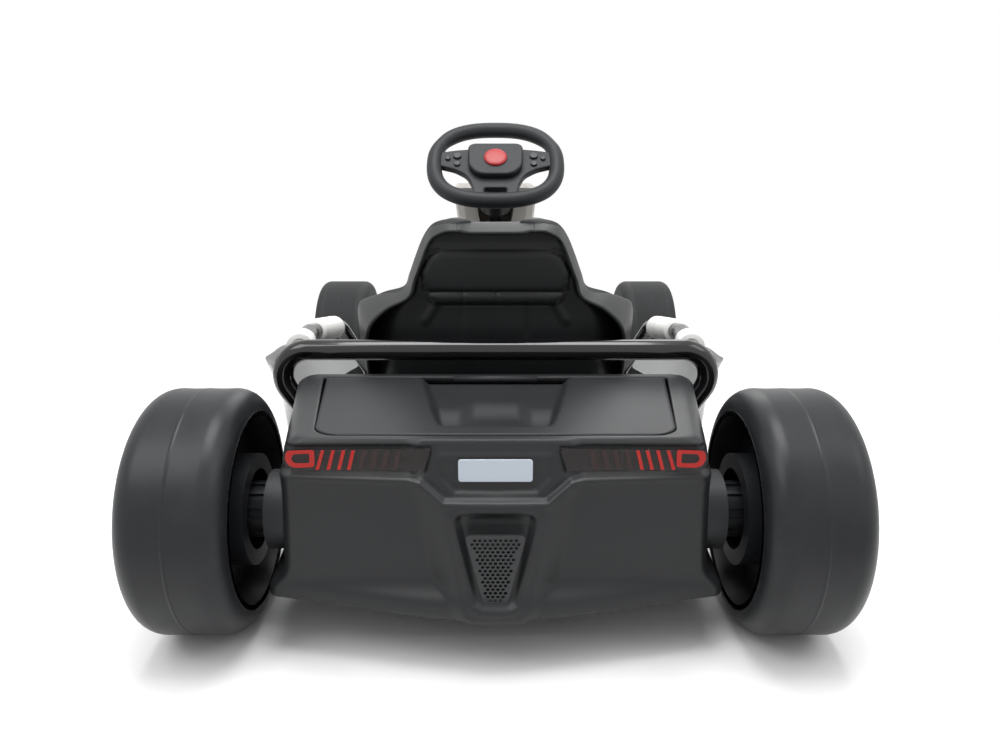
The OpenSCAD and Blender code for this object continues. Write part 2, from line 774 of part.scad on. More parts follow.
// A ring round the grip, slimmer at the two thumb rests
function grip_ring(a, half, top) =
    let (
        ahead = unit(grip_middle(a + 2, half, top) - grip_middle(a - 2, half, top)),
        out = cross(ahead, [0, 0, 1]),
        thumb = min(abs(a - 30), abs(a - 150)),
        r = wheel_grip / 2 - 1.5 * max(0, 1 - thumb / 18)
    )
    [for (k = [0 : 17]) grip_middle(a, half, top) + r * ([0, 0, 1] * cos(20 * k) + out * sin(20 * k))];

module steering_wheel() {
    half = (wheel_w - wheel_grip) / 2;
    top = (wheel_h - wheel_grip) / 2;
    color("#2c3036") from_rear() wheel_plane() {
        ring_shell([for (i = [0 : grip_steps - 1]) grip_ring(360 * i / grip_steps, half, top)]);
        translate([0, 0, -6]) difference() {
            linear_extrude(12) polygon([
                [-half, 23], [-70, 30], [-40, 33], [40, 33], [70, 30], [half, 23],
                [half, -5], [70, -16], [50, -30], [40, -52], [36, -top],
                [-36, -top], [-40, -52], [-50, -30], [-70, -16], [-half, -5]
            ]);
            translate([0, -68, -1]) rounded_plate(38, 16, 5, 20);
        }
    }
}

module wheel_pad() {
    color("#202328") from_rear() wheel_plane() translate([0, -2, 6 + seat_gap]) rounded_plate(96, 74, 20, 12);
}

module horn_button() {
    color("#c8322c") from_rear() wheel_plane() translate([0, -2, 18 + 2 * seat_gap]) cylinder(h = 4, r = 20);
}

module steering_shaft() {
    lift = 14;
    color("#1a1b1d") from_rear() {
        rod(crank_foot + column_dir * lift, wheel_centre - column_dir * (6 + seat_gap), 2 * shaft_r);
        rod(wheel_centre - column_dir * 96, wheel_centre - column_dir * (6 + seat_gap), 60);
        translate(crank_foot + column_dir * lift) aim(column_dir) {
            cylinder(h = 6, r = 11);
            translate([-arm_l, -8, 0]) cube([arm_l, 16, 6]);
            translate([-arm_l, 0, 0]) cylinder(h = 6, r = 11);
            translate([-arm_l, 0, -lift - 12]) cylinder(h = lift + 14, r = rod_pin_r);
        }
    }
}

module knuckle(side) {
    boss_h = 40;
    color("#3d4146") from_rear() translate([side * kingpin_x, wheelbase, front_wheel_r]) on_side(side)
        difference() {
            union() {
                translate([0, 0, -boss_h / 2]) cylinder(h = boss_h, r = 13);
                rod([0, 0, 0], [front_wheel_x + front_wheel_w - shaft_end - kingpin_x, 0, 0], 2 * spindle_r);
                rod([8, 0, 0], [front_wheel_x + 8 - kingpin_x, 0, 0], 26);
                translate([-8, -arm_l, boss_h / 2 - 8]) cube([16, arm_l, 8]);
                translate([0, -arm_l, boss_h / 2 - 8]) cylinder(h = 8, r = 10);
                translate([0, -arm_l, boss_h / 2 - 8])
                    cylinder(h = tie_rod_z + 9 - front_wheel_r - boss_h / 2 + 8, r = rod_pin_r);
            }
            translate([0, 0, -boss_h]) cylinder(h = 2 * boss_h, r = kingpin_r + run_gap);
        }
}

module tie_rod() {
    y = wheelbase - arm_l;
    centre = [0, y, tie_rod_z];
    color("#4a4e54") from_rear() difference() {
        union() {
            rod([-kingpin_x, y, tie_rod_z], [kingpin_x, y, tie_rod_z], 12);
            for (side = [-1, 1]) translate([side * kingpin_x, y, tie_rod_z - 7]) cylinder(h = 14, r = 10);
            translate(centre) aim(column_dir) translate([-15, -19, -4]) cube([30, 38, 8]);
        }
        translate([-kingpin_x, y, 0]) cylinder(h = 400, r = rod_pin_r + run_gap);
        translate([kingpin_x, y, 0]) cylinder(h = 400, r = rod_pin_r + 0.5);
        translate(centre) aim(column_dir) translate([-9.5, -6, -20]) cube([19, 12, 40]);
    }
}

// A wheel lies on the x axis with its inner face at x = 0
module wheel_at(x, y, r, side) {
    from_rear() on_side(side) translate([x, y, r]) rotate([0, 90, 0]) children();
}

module rear_wheel_at(side) {
    wheel_at(rear_wheel_x, 0, rear_wheel_r, side) children();
}

module front_wheel_at(side) {
    wheel_at(front_wheel_x, wheelbase, front_wheel_r, side) children();
}

module tyre(r, w, bead, shoulder) {
    rotate_extrude($fn = 96) intersection() {
        translate([bead, 0]) square([r - bead, w]);
        union() {
            translate([bead - 1, 0]) square([r - bead - shoulder + 1, w]);
            translate([bead - 1, shoulder]) square([r - bead + 1, w - 2 * shoulder]);
            for (x = [shoulder, w - shoulder]) translate([r - shoulder, x]) circle(shoulder);
        }
    }
}

module rear_tyre(side) {
    color("#34373c") rear_wheel_at(side) tyre(rear_wheel_r, rear_wheel_w, rear_bead_r, 20);
}

module front_tyre(side) {
    color("#2e3033") front_wheel_at(side) tyre(front_wheel_r, front_wheel_w, front_bead_r, 18);
}

// Wheel centre: barrel, web with five windows, hub and blind socket towards the drive
module rim(r, w, hub_r, hub_in, bore_r, web_x, windows) {
    difference() {
        union() {
            rotate_extrude($fn = 96) polygon([
                [hub_r, hub_in], [hub_r, web_x], [r - 8, web_x - 10], [r - 4, 4], [r, 4], [r, w - 4],
                [r - 5, w - 4], [r - 9, web_x + 4], [hub_r, web_x + 12], [hub_r - 6, w - 8],
                [0, w - 8], [0, hub_in]
            ]);
        }
        translate([0, 0, -1]) cylinder(h = w - bore_end + 1, r = bore_r);
        if (windows) for (a = [0 : 72 : 359]) rotate(a) translate([(r + hub_r) / 2 - 4, 0, web_x - 20])
            cylinder(h = 50, r = (r - hub_r) / 2 - 10);
    }
}

module rear_rim(side) {
    bead = rear_bead_r - seat_gap;
    color("#2b2e33") rear_wheel_at(side) difference() {
        union() {
            rotate_extrude($fn = 96) polygon([
                [48, 0], [66, 0], [66, 36], [104, 32], [112, 2], [bead, 2], [bead, rear_wheel_w - 2],
                [110, rear_wheel_w - 2], [104, 44], [30, 52], [26, rear_wheel_w - 8],
                [0, rear_wheel_w - 8], [0, 30], [48, 30]
            ]);
            translate([0, 0, -15]) cylinder(h = 46, r = 30);
            for (a = [0 : 30 : 359]) rotate(a) translate([28, -2, -14]) cube([5, 4, 45]);
            for (a = [0 : 72 : 359]) rotate(a) translate([24, -7, 46]) cube([84, 14, 40]);
        }
        translate([0, 0, -30]) cylinder(h = rear_wheel_w + 30 - bore_end, r = axle_r + run_gap);
        translate([0, 0, -16]) cylinder(h = 20, r = 22);
    }
}

module front_rim(side) {
    color("#2b2e33") front_wheel_at(side)
        rim(front_bead_r - seat_gap, front_wheel_w, 24, 9, spindle_r + run_gap, 50, true);
}

module cap(w) {
    translate([0, 0, w - 8 + seat_gap]) rotate_extrude()
        polygon([[0, 0], [20, 0], [20, 4], [16, 7], [0, 7.5]]);
}

module rear_cap(side) {
    color("#15171a") rear_wheel_at(side) cap(rear_wheel_w);
}

module front_cap(side) {
    color("#15171a") front_wheel_at(side) cap(front_wheel_w);
}

// The trough down the middle of the lid, with the finger pocket under its step
// columns: y, half-width at the top, half-width at the floor, height of the floor
LID_TROUGH = [
    [-lid_rear + 20, 56, 46, body_top - 0.5],
    [-22, 61, 50, body_top - 22],
    [14, 68, 57, body_top - 22],
    [48, 74, 63, body_top - 11],
    [lid_front - 17, 89, 78, body_top - 10]
];

module lid_trough(grow) {
    last = len(LID_TROUGH) - 1;
    rise = grow == 0 ? 1 : -0.5;
    loft([for (i = [last : -1 : 0])
        let (row = LID_TROUGH[i], y = row[0] + (i == 0 ? -grow : i == last ? grow : 0))
        [
            [-row[1] - grow, y, body_top + rise], [-row[2] - grow, y, row[3] - grow],
            [row[2] + grow, y, row[3] - grow], [row[1] + grow, y, body_top + rise]
        ]]);
}

module battery_lid() {
    color("#2e3033") from_rear() difference() {
        union() {
            translate([0, 0, body_top - lid_t]) linear_extrude(lid_t) lid_outline(0);
            lid_trough(lid_t);
            translate([-55, lid_front - 8, hinge_z]) cube([110, 14, lid_t]);
            rod([-55, hinge_y, hinge_z], [55, hinge_y, hinge_z], 10);
        }
        lid_trough(0);
        rod([-60, hinge_y, hinge_z], [60, hinge_y, hinge_z], 5 + 2 * run_gap);
    }
}

lower_frame();
rear_hoop();
side_rails();
foam_sleeves();
floor_pan();
side_fairing(-1);  // side_fairing_left
side_fairing(1);  // side_fairing_right
rear_body();
tail_lens();
lamp_bars();
speaker_grille();
plate();
battery();
gearbox(-1);  // gearbox_left
gearbox(1);  // gearbox_right
rear_axle();
seat_shell();
seat_runners();
nose_cowl();
headlamps();
front_bumper();
console();
pedal(1);  // accelerator_pedal
pedal(-1);  // brake_pedal
steering_wheel();
wheel_pad();
horn_button();
steering_shaft();
knuckle(-1);  // knuckle_left
knuckle(1);  // knuckle_right
tie_rod();
front_tyre(-1);  // front_tyre_left
front_rim(-1);  // front_rim_left
front_cap(-1);  // front_cap_left
front_tyre(1);  // front_tyre_right
front_rim(1);  // front_rim_right
front_cap(1);  // front_cap_right
rear_tyre(-1);  // rear_tyre_left
rear_rim(-1);  // rear_rim_left
rear_cap(-1);  // rear_cap_left
rear_tyre(1);  // rear_tyre_right
rear_rim(1);  // rear_rim_right
rear_cap(1);  // rear_cap_right
battery_lid();
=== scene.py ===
# %% [markdown]
# # A ride-on drift kart, seen from behind
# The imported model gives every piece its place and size. This lesson dresses those pieces:
# moulded plastic skins are modelled as smooth meshes, tubes are swept, wheels are turned,
# and each finish is a small node material. Everything is in metres, +Y is forwards.

# %% Load the frame
import math

import bmesh
import bpy
import numpy as np
from mathutils import Matrix, Vector


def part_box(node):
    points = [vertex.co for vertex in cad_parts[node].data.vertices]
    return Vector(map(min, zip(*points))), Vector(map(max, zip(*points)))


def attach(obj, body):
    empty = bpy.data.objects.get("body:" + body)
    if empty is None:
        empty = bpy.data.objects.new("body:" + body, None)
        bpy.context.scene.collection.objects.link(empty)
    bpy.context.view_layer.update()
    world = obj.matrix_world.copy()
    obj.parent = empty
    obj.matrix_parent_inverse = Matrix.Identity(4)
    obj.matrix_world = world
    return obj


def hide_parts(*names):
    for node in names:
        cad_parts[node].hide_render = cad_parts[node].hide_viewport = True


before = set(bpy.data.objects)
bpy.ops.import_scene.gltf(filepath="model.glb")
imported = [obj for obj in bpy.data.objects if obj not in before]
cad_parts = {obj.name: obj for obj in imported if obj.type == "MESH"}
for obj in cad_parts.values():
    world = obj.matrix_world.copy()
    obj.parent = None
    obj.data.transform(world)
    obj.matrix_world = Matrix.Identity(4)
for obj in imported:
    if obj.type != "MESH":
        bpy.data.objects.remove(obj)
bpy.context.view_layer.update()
MM = 0.001
axle_low, axle_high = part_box("rear_axle")
REAR_AXLE = (axle_low[1] + axle_high[1]) / 2 / MM
print("rear axle at y =", round(REAR_AXLE, 1), "mm,", len(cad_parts), "nodes")

# %% [markdown]
# ## From sizes to meshes
# Most pieces here are a grid of points: rows along one way, columns along the other. NumPy makes
# such a grid in one go, and one function turns it into a mesh. Sizes are in millimetres from the
# rear axle, as a maker would measure them, and are turned to metres at the very end.

# %% Grid and ring meshes
def grid_faces(rows, cols, close_rows=False, close_cols=False):
    faces = []
    for i in range(rows if close_rows else rows - 1):
        for j in range(cols if close_cols else cols - 1):
            i2 = (i + 1) % rows
            j2 = (j + 1) % cols
            faces.append((i * cols + j, i * cols + j2, i2 * cols + j2, i2 * cols + j))
    return faces


def mesh_piece(name, points, faces, smooth=True):
    """A mesh object from points in millimetres, with y counted from the rear axle."""
    placed = np.asarray(points, dtype=float).reshape(-1, 3) + (0, REAR_AXLE, 0)
    mesh = bpy.data.meshes.new(name)
    mesh.from_pydata((placed * MM).tolist(), [], faces)
    mesh.validate()
    mesh.polygons.foreach_set("use_smooth", [smooth] * len(mesh.polygons))
    piece = bpy.data.objects.new(name, mesh)
    bpy.context.scene.collection.objects.link(piece)
    return piece


def grid_piece(name, grid, close_rows=False, close_cols=False):
    grid = np.asarray(grid, dtype=float)
    rows, cols = grid.shape[:2]
    return mesh_piece(name, grid, grid_faces(rows, cols, close_rows, close_cols))


def add_modifier(piece, kind, **settings):
    modifier = piece.modifiers.new(kind.lower(), kind)
    for key, value in settings.items():
        setattr(modifier, key, value)
    return modifier


def thicken(piece, wall, offset=-1):
    """Gives a skin its wall, inwards for offset -1, in millimetres."""
    return add_modifier(piece, "SOLIDIFY", thickness=wall * MM, offset=offset)


def merge_close(piece, gap=0.1):
    """Joins points that lie closer than the gap, so a folded grid leaves no empty faces."""
    skin = bmesh.new()
    skin.from_mesh(piece.data)
    bmesh.ops.remove_doubles(skin, verts=skin.verts, dist=gap * MM)
    skin.to_mesh(piece.data)
    skin.free()


def sharpen(piece, angle=40):
    """Keeps edges steeper than the angle sharp while the rest shades smoothly."""
    mesh = piece.data
    mesh.shade_smooth() if hasattr(mesh, "shade_smooth") else None
    if hasattr(mesh, "set_sharp_from_angle"):
        mesh.set_sharp_from_angle(angle=math.radians(angle))


# %% Curves and fields
def smooth_step(t):
    t = np.clip(t, 0, 1)
    return t * t * (3 - 2 * t)


def soft_ramp(t, soft=0.12):
    """Rises from 0 to 1 along a straight line with rounded ends."""
    return 0.5 * (np.sqrt(t * t + soft * soft) - np.sqrt((t - 1) ** 2 + soft * soft) + 1)


def soft_table(z, knots, values, soft=3.0):
    """Straight lines between the knots, with each corner rounded over a few millimetres."""
    steps = np.linspace(-soft, soft, 9)
    return np.mean([np.interp(z + s, knots, values) for s in steps], axis=0)


def outline_distance(outline, x, y):
    """Distance to a closed outline, less than zero inside."""
    corners = np.asarray(outline, dtype=float)
    best = np.full(np.broadcast(x, y).shape, 1e9)
    inside = np.zeros(best.shape, dtype=bool)
    for (ax, ay), (bx, by) in zip(corners, np.roll(corners, -1, axis=0)):
        ex, ey = bx - ax, by - ay
        t = np.clip(((x - ax) * ex + (y - ay) * ey) / (ex * ex + ey * ey), 0, 1)
        best = np.minimum(best, np.hypot(x - ax - t * ex, y - ay - t * ey))
        crosses = (ay > y) != (by > y)
        safe = ey if abs(ey) > 1e-9 else 1e-9
        inside ^= crosses & (x < ax + (y - ay) / safe * ex)
    return np.where(inside, -best, best)


def mirrored(outline):
    """An outline given by its right half from the top down, mirrored to the left."""
    return list(outline) + [(-x, y) for x, y in reversed(outline) if abs(x) > 1e-6]


# %% Round things
def round_path(corners, bend, steps=10, closed=False):
    """Points along straight legs joined by round bends."""
    corners = [Vector(c) for c in corners]
    count = len(corners)
    points = [] if closed else [corners[0]]
    for i in range(count if closed else count - 2):
        a, b, c = (corners[(i + k) % count] for k in range(3))
        u, w = (a - b).normalized(), (c - b).normalized()
        turn = math.pi - u.angle(w)
        centre = b + (u + w).normalized() * bend / math.cos(turn / 2)
        start = b + u * bend * math.tan(turn / 2) - centre
        axis = (-u).cross(w).normalized()
        points += [centre + Matrix.Rotation(turn * k / steps, 3, axis) @ start for k in range(steps + 1)]
    return points if closed else points + [corners[-1]]


def swept_tube(name, path, radius, sides=28, closed=False, caps=True):
    """A round tube along a path; radius is one number or one for each point."""
    path = [Vector(p) for p in path]
    count = len(path)
    radii = [radius] * count if isinstance(radius, (int, float)) else [float(r) for r in radius]
    rings = []
    normal = None
    for i, p in enumerate(path):
        before = path[i - 1] if closed or i else p
        after = path[(i + 1) % count] if closed or i < count - 1 else p
        ahead = (after - before).normalized()
        if normal is None:
            normal = ahead.orthogonal().normalized()
        normal = (normal - ahead * normal.dot(ahead)).normalized()
        other = ahead.cross(normal)
        rings.append([p + radii[i] * (normal * math.cos(a) + other * math.sin(a))
                      for a in np.linspace(0, 2 * math.pi, sides, endpoint=False)])
    points = [tuple(v) for ring in rings for v in ring]
    faces = grid_faces(count, sides, closed, True)
    if caps and not closed:
        faces += [tuple(range(sides))[::-1], tuple((count - 1) * sides + k for k in range(sides))]
    return mesh_piece(name, points, faces)


def turned(name, profile, centre, side=1, steps=128):
    """Turns a profile of (radius, distance outwards) about a wheel's axle, which lies along x."""
    angles = np.linspace(0, 2 * math.pi, steps, endpoint=False)
    grid = [[(centre[0] + side * out, centre[1] + r * math.cos(a), centre[2] + r * math.sin(a))
             for a in angles] for r, out in profile]
    return grid_piece(name, grid, close_cols=True)


print("helpers ready")

# %% [markdown]
# ## Finishes
# Every surface is a Principled shader with a little life in it: the colour wanders slightly, the
# gloss breaks up, and a fine bump gives the grain of the mould. One function builds that base,
# and each finish sets its own numbers. Noise runs in object space, so nothing slides in a turntable.

# %% A material builder
def new_material(name, color, roughness, **sockets):
    material = bpy.data.materials.new(name)
    material.use_nodes = True
    shader = material.node_tree.nodes["Principled BSDF"]
    shader.inputs["Base Color"].default_value = (*color, 1)
    shader.inputs["Roughness"].default_value = roughness
    for key, value in sockets.items():
        shader.inputs[key.replace("_", " ")].default_value = value
    return material


def node(material, kind, **settings):
    made = material.node_tree.nodes.new(kind)
    for key, value in settings.items():
        if key in made.inputs:
            made.inputs[key].default_value = value
        else:
            setattr(made, key, value)
    return made


def link(material, source, target):
    material.node_tree.links.new(source, target)


def ramp(material, fac, stops):
    made = node(material, "ShaderNodeValToRGB")
    elements = made.color_ramp.elements
    while len(elements) < len(stops):
        elements.new(0.5)
    for element, (position, color) in zip(elements, stops):
        element.position = position
        element.color = (*color, 1) if len(color) == 3 else color
    link(material, fac, made.inputs["Fac"])
    return made


def coordinates(material, stretch=(1, 1, 1)):
    where = node(material, "ShaderNodeTexCoord")
    mapping = node(material, "ShaderNodeMapping")
    mapping.inputs["Scale"].default_value = stretch
    link(material, where.outputs["Object"], mapping.inputs["Vector"])
    return mapping.outputs["Vector"]


def moulded(name, color, roughness, vary=0.06, patch=9, grain=900, bump=0.15, depth=0.0002,
            scuffs=0.0, **sockets):
    """Moulded plastic, rubber or paint: patchy colour and gloss, a fine grain, and light scuffs."""
    material = new_material(name, color, roughness, **sockets)
    shader = material.node_tree.nodes["Principled BSDF"]
    where = coordinates(material)
    patches = node(material, "ShaderNodeTexNoise", Scale=patch, Detail=5, Roughness=0.6)
    link(material, where, patches.inputs["Vector"])
    low = tuple(c * (1 - vary) for c in color)
    high = tuple(min(c * (1 + vary) + vary * 0.01, 1) for c in color)
    tint = ramp(material, patches.outputs["Fac"], [(0.3, low), (0.7, high)])
    link(material, tint.outputs["Color"], shader.inputs["Base Color"])
    gloss = node(material, "ShaderNodeMapRange")
    gloss.inputs["To Min"].default_value = max(roughness - 0.06, 0.02)
    gloss.inputs["To Max"].default_value = min(roughness + 0.08, 1)
    link(material, patches.outputs["Fac"], gloss.inputs["Value"])
    rough = gloss.outputs["Result"]
    if scuffs:
        scratch = node(material, "ShaderNodeTexNoise", Scale=38, Detail=8, Roughness=0.72, Distortion=1.8)
        link(material, coordinates(material, (1, 1, 5)), scratch.inputs["Vector"])
        worn = ramp(material, scratch.outputs["Fac"], [(0.62, (0, 0, 0)), (0.72, (1, 1, 1))])
        add = node(material, "ShaderNodeMath", operation="MULTIPLY_ADD")
        add.inputs[1].default_value = scuffs
        link(material, worn.outputs["Color"], add.inputs[0])
        link(material, rough, add.inputs[2])
        rough = add.outputs[0]
    link(material, rough, shader.inputs["Roughness"])
    fine = node(material, "ShaderNodeTexNoise", Scale=grain, Detail=3)
    link(material, where, fine.inputs["Vector"])
    relief = node(material, "ShaderNodeBump", Strength=bump, Distance=depth)
    link(material, fine.outputs["Fac"], relief.inputs["Height"])
    link(material, relief.outputs["Normal"], shader.inputs["Normal"])
    return material


def dress(piece, material, body="chassis", replaces=()):
    """Paints a piece, lets it ride on its body, and hides the CAD nodes that it stands for."""
    piece.data.materials.clear()
    piece.data.materials.append(material)
    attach(piece, body)
    if replaces:
        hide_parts(*replaces)
    return piece


# %% The finishes of this kart
MATTE = {"Specular_IOR_Level": 0.3}
shell_plastic = moulded("shell_plastic", (0.02, 0.021, 0.0225), 0.38, grain=1100, bump=0.1, scuffs=0.1, **MATTE)
lid_plastic = moulded("lid_plastic", (0.018, 0.019, 0.021), 0.44, grain=1300, bump=0.2, **MATTE)
seat_plastic = moulded("seat_plastic", (0.014, 0.015, 0.016), 0.42, grain=1300, bump=0.2, scuffs=0.12, **MATTE)
# The emission is a painted glow: the white fairings and nose light up a little so that they stay pale in shade.
white_plastic = moulded("white_plastic", (0.5, 0.51, 0.52), 0.3, vary=0.02, grain=600, bump=0.05,
                        Emission_Color=(1, 1, 1, 1), Emission_Strength=0.18)
# The console is white plastic; this beige is painted shade, the white as it looks in the shade under the steering
# wheel.
console_painted_shade = moulded("console_painted_shade", (0.72, 0.69, 0.65), 0.34, vary=0.03, grain=600, bump=0.05)
slick_plastic = moulded("slick_plastic", (0.015, 0.016, 0.018), 0.36, vary=0.2, patch=14, grain=500,
                        bump=0.25, scuffs=0.3, **MATTE)
tyre_rubber = moulded("tyre_rubber", (0.02, 0.021, 0.022), 0.66, vary=0.15, patch=22, grain=700, bump=0.5, **MATTE)
gloss_black = moulded("gloss_black", (0.004, 0.004, 0.005), 0.12, vary=0.1, grain=300, bump=0.04,
                      Coat_Weight=0.3, Coat_Roughness=0.05)
frame_paint = moulded("frame_paint", (0.01, 0.011, 0.012), 0.4, vary=0.15, grain=420, bump=0.25, **MATTE)
rim_plastic = moulded("rim_plastic", (0.012, 0.013, 0.015), 0.38, vary=0.12, grain=900, bump=0.2,
                      scuffs=0.15, **MATTE)
cap_plastic = moulded("cap_plastic", (0.01, 0.011, 0.012), 0.3, grain=900, bump=0.1)
gear_plastic = moulded("gear_plastic", (0.02, 0.022, 0.025), 0.5, grain=800, bump=0.25)
wheel_plastic = moulded("wheel_plastic", (0.018, 0.02, 0.023), 0.5, vary=0.08, grain=1200, bump=0.3, **MATTE)
horn_plastic = moulded("horn_plastic", (0.36, 0.012, 0.012), 0.4, vary=0.04, grain=600, bump=0.05)
battery_case = moulded("battery_case", (0.04, 0.045, 0.055), 0.5, grain=700, bump=0.3)
pedal_rubber = moulded("pedal_rubber", (0.012, 0.012, 0.013), 0.7, grain=500, bump=0.4)
foam = moulded("foam", (0.82, 0.82, 0.8), 0.85, vary=0.04, patch=30, grain=420, bump=0.9, depth=0.0006)
steel = moulded("steel", (0.42, 0.43, 0.45), 0.32, vary=0.08, grain=300, bump=0.1, Metallic=1.0)
plate_paint = moulded("plate_paint", (0.74, 0.82, 0.92), 0.32, vary=0.03, grain=500, bump=0.05)
trim_black = moulded("trim_black", (0.012, 0.013, 0.015), 0.45, grain=900, bump=0.2)
lamp_red = moulded("lamp_red", (0.95, 0.02, 0.012), 0.3, vary=0.05, grain=300, bump=0.05)
dark_red = moulded("dark_red", (0.03, 0.007, 0.006), 0.35, vary=0.1, grain=300, bump=0.05)
print(len(bpy.data.materials), "finishes")

# %% [markdown]
# ## The rear body
# The tail is one moulded shell. Its rear face is a landscape seen from the side: a keel down the
# middle, flanks that fall away, a lamp band set back over a ledge, a recess for the plate and one
# for the grille. A height field suits that best: each feature is an outline in the rear view, and
# the distance to that outline raises or sinks the surface with a soft edge.

# %% Section tables of the shell
BODY_BOTTOM, BODY_TOP, BODY_FRONT = 65, 266, 150
BODY_Z = [65, 71, 79, 86, 92, 98, 106, 118, 205, 222, 227, 232, 256, 266]
HALF_FRONT = [262, 268, 268.5, 267, 263.5, 260, 257.5, 256, 262, 263, 264, 263, 261, 258]
HALF_REAR = [250, 257, 257.5, 256, 251, 244.5, 239, 236, 231, 231, 231, 229, 226, 222]
CORNER_Y = [-74, -78, -79.5, -80, -80, -80.5, -82, -84, -90, -92, -93, -91, -86.4, -82]
PANEL_Y = [-111, -116, -118, -118, -113.5, -105, -98.2, -96.5, -97, -98.5, -98.5, -92, -86.5, -84]
KEEL_Y = [-120, -124.5, -125, -124.5, -121.5, -119, -117.5, -116, -110.5, -108.5, -107.5, -106, -100, -96]
KEEL_IN = [24, 30, 33, 36, 38, 40, 42, 44, 56, 60, 62, 62, 62, 62]
KEEL_OUT = [40, 44, 47, 50, 56, 63, 68, 71, 85, 90, 92, 92, 92, 92]

UPPER_PANEL = mirrored([(0, 300), (262, 300), (262, 262), (243, 252), (231, 236), (214, 229.5),
                        (94, 228), (79, 225), (54, 205.5), (0, 205)])
PLATE_RECESS = mirrored([(0, 252), (57, 252), (60, 249), (57, 228), (43, 212), (0, 211)])
LENS_RECESS = mirrored([(67, 260), (225, 258.5), (229, 250), (228, 236), (220, 231.5), (74, 231)])[:6]
GRILLE_RECESS = mirrored([(0, 190), (36, 190), (40.5, 186), (21.5, 92), (15, 87), (0, 86)])


def body_rear_y(x, z):
    """Where the shell's rear face lies, for a place in the rear view."""
    side = np.abs(x)
    half = soft_table(z, BODY_Z, HALF_REAR) - 14
    corner = soft_table(z, BODY_Z, CORNER_Y)
    panel = soft_table(z, BODY_Z, PANEL_Y)
    keel = soft_table(z, BODY_Z, KEEL_Y)
    inner = soft_table(z, BODY_Z, KEEL_IN, 6)
    outer = soft_table(z, BODY_Z, KEEL_OUT, 6)
    y = panel + (corner - panel) * np.clip((side - outer) / (half - outer), 0, 1) ** 1.25
    y = y + (keel - panel) * (1 - soft_ramp((side - inner) / (outer - inner), 0.1))
    above = outline_distance(UPPER_PANEL, x, z)
    y = y + 8.5 * smooth_step(0.5 - above / 5) * np.clip((-y - 90) / 8, 0, 1)
    y = y - 1.6 * np.exp(-((above - 4) / 3.2) ** 2)
    lens = np.minimum(outline_distance(LENS_RECESS, x, z), outline_distance(LENS_RECESS, -x, z))
    y = y + 3.4 * smooth_step(0.5 - lens / 2.2)
    plate = smooth_step(0.5 - outline_distance(PLATE_RECESS, x, z) / 7)
    y = y + (-94.8 - y) * plate
    y = y + 4.2 * smooth_step(0.5 - outline_distance(GRILLE_RECESS, x, z) / 6.5)
    edge = BODY_TOP - z
    rim = outline_distance(GRILLE_RECESS, x, z)
    y = y - 1.8 * np.exp(-((rim - 5.5) / 3.5) ** 2)
    return y + 3 * np.clip(1 - edge / 7, 0, 1) ** 2.2


# %% Rings of the shell from the lower edge, over the rim and down into the lid's opening
REAR_COLS, ARC_COLS, SIDE_COLS = 118, 7, 14


def body_ring(z, rear_scale=1.0):
    """Half a section, from the middle of the rear round the side to the front."""
    drop = max(0.0, 14 - (BODY_TOP - z))
    shoulder = 14 - math.sqrt(14 ** 2 - drop ** 2)
    half_rear = float(soft_table(z, BODY_Z, HALF_REAR)) - 0.8 * shoulder
    half_front = float(soft_table(z, BODY_Z, HALF_FRONT)) - shoulder
    x = np.linspace(0, half_rear - 14, REAR_COLS)
    lift = 6.0 * smooth_step((x - 60) / 150) * smooth_step((BODY_BOTTOM + 9 - z) / 9)
    rear = np.stack([x, body_rear_y(x, np.full_like(x, z)), z + lift], axis=1)
    start_y = rear[-1][1]
    end_y = start_y + 14
    turn = np.linspace(0, math.pi / 2, ARC_COLS + 1)[1:]
    last_lift = lift[-1]
    arc = np.stack([half_rear - 14 + 14 * np.sin(turn), start_y + 14 - 14 * np.cos(turn),
                    np.full(ARC_COLS, z + last_lift)], axis=1)
    t = np.linspace(0, 1, SIDE_COLS + 1)[1:]
    side = np.stack([half_rear + (half_front - half_rear) * t, end_y + (BODY_FRONT - 10 - end_y) * t,
                     z + last_lift * (1 - t)], axis=1)
    front = np.array([[half_front - 3, BODY_FRONT - 3, z], [half_front - 10, BODY_FRONT, z]])
    return np.concatenate([rear, arc, side, front])


def opening_ring(inset, z):
    """The lid's opening with the same columns as a section."""
    half_front, half_rear, rear_y, r = 225 + inset, 198 + inset, -73 - inset, 29
    x = np.linspace(0, half_rear - r, REAR_COLS)
    rear = np.stack([x, np.full_like(x, rear_y), np.full_like(x, z)], axis=1)
    turn = np.linspace(0, math.pi / 2, ARC_COLS + 1)[1:]
    arc = np.stack([half_rear - r + r * np.sin(turn), rear_y + r - r * np.cos(turn),
                    np.full(ARC_COLS, z)], axis=1)
    t = np.linspace(0, 1, SIDE_COLS + 1)[1:]
    end = 138 + inset
    side = np.stack([half_rear + (half_front - half_rear) * t, rear_y + r + (end - 6 - rear_y - r) * t,
                     np.full(SIDE_COLS, z)], axis=1)
    front = np.array([[half_front - 2, end - 2, z], [half_front - 6, end, z]])
    return np.concatenate([rear, arc, side, front])


def whole_ring(half):
    mirror = half[:0:-1] * (-1, 1, 1)
    return np.concatenate([half, mirror])


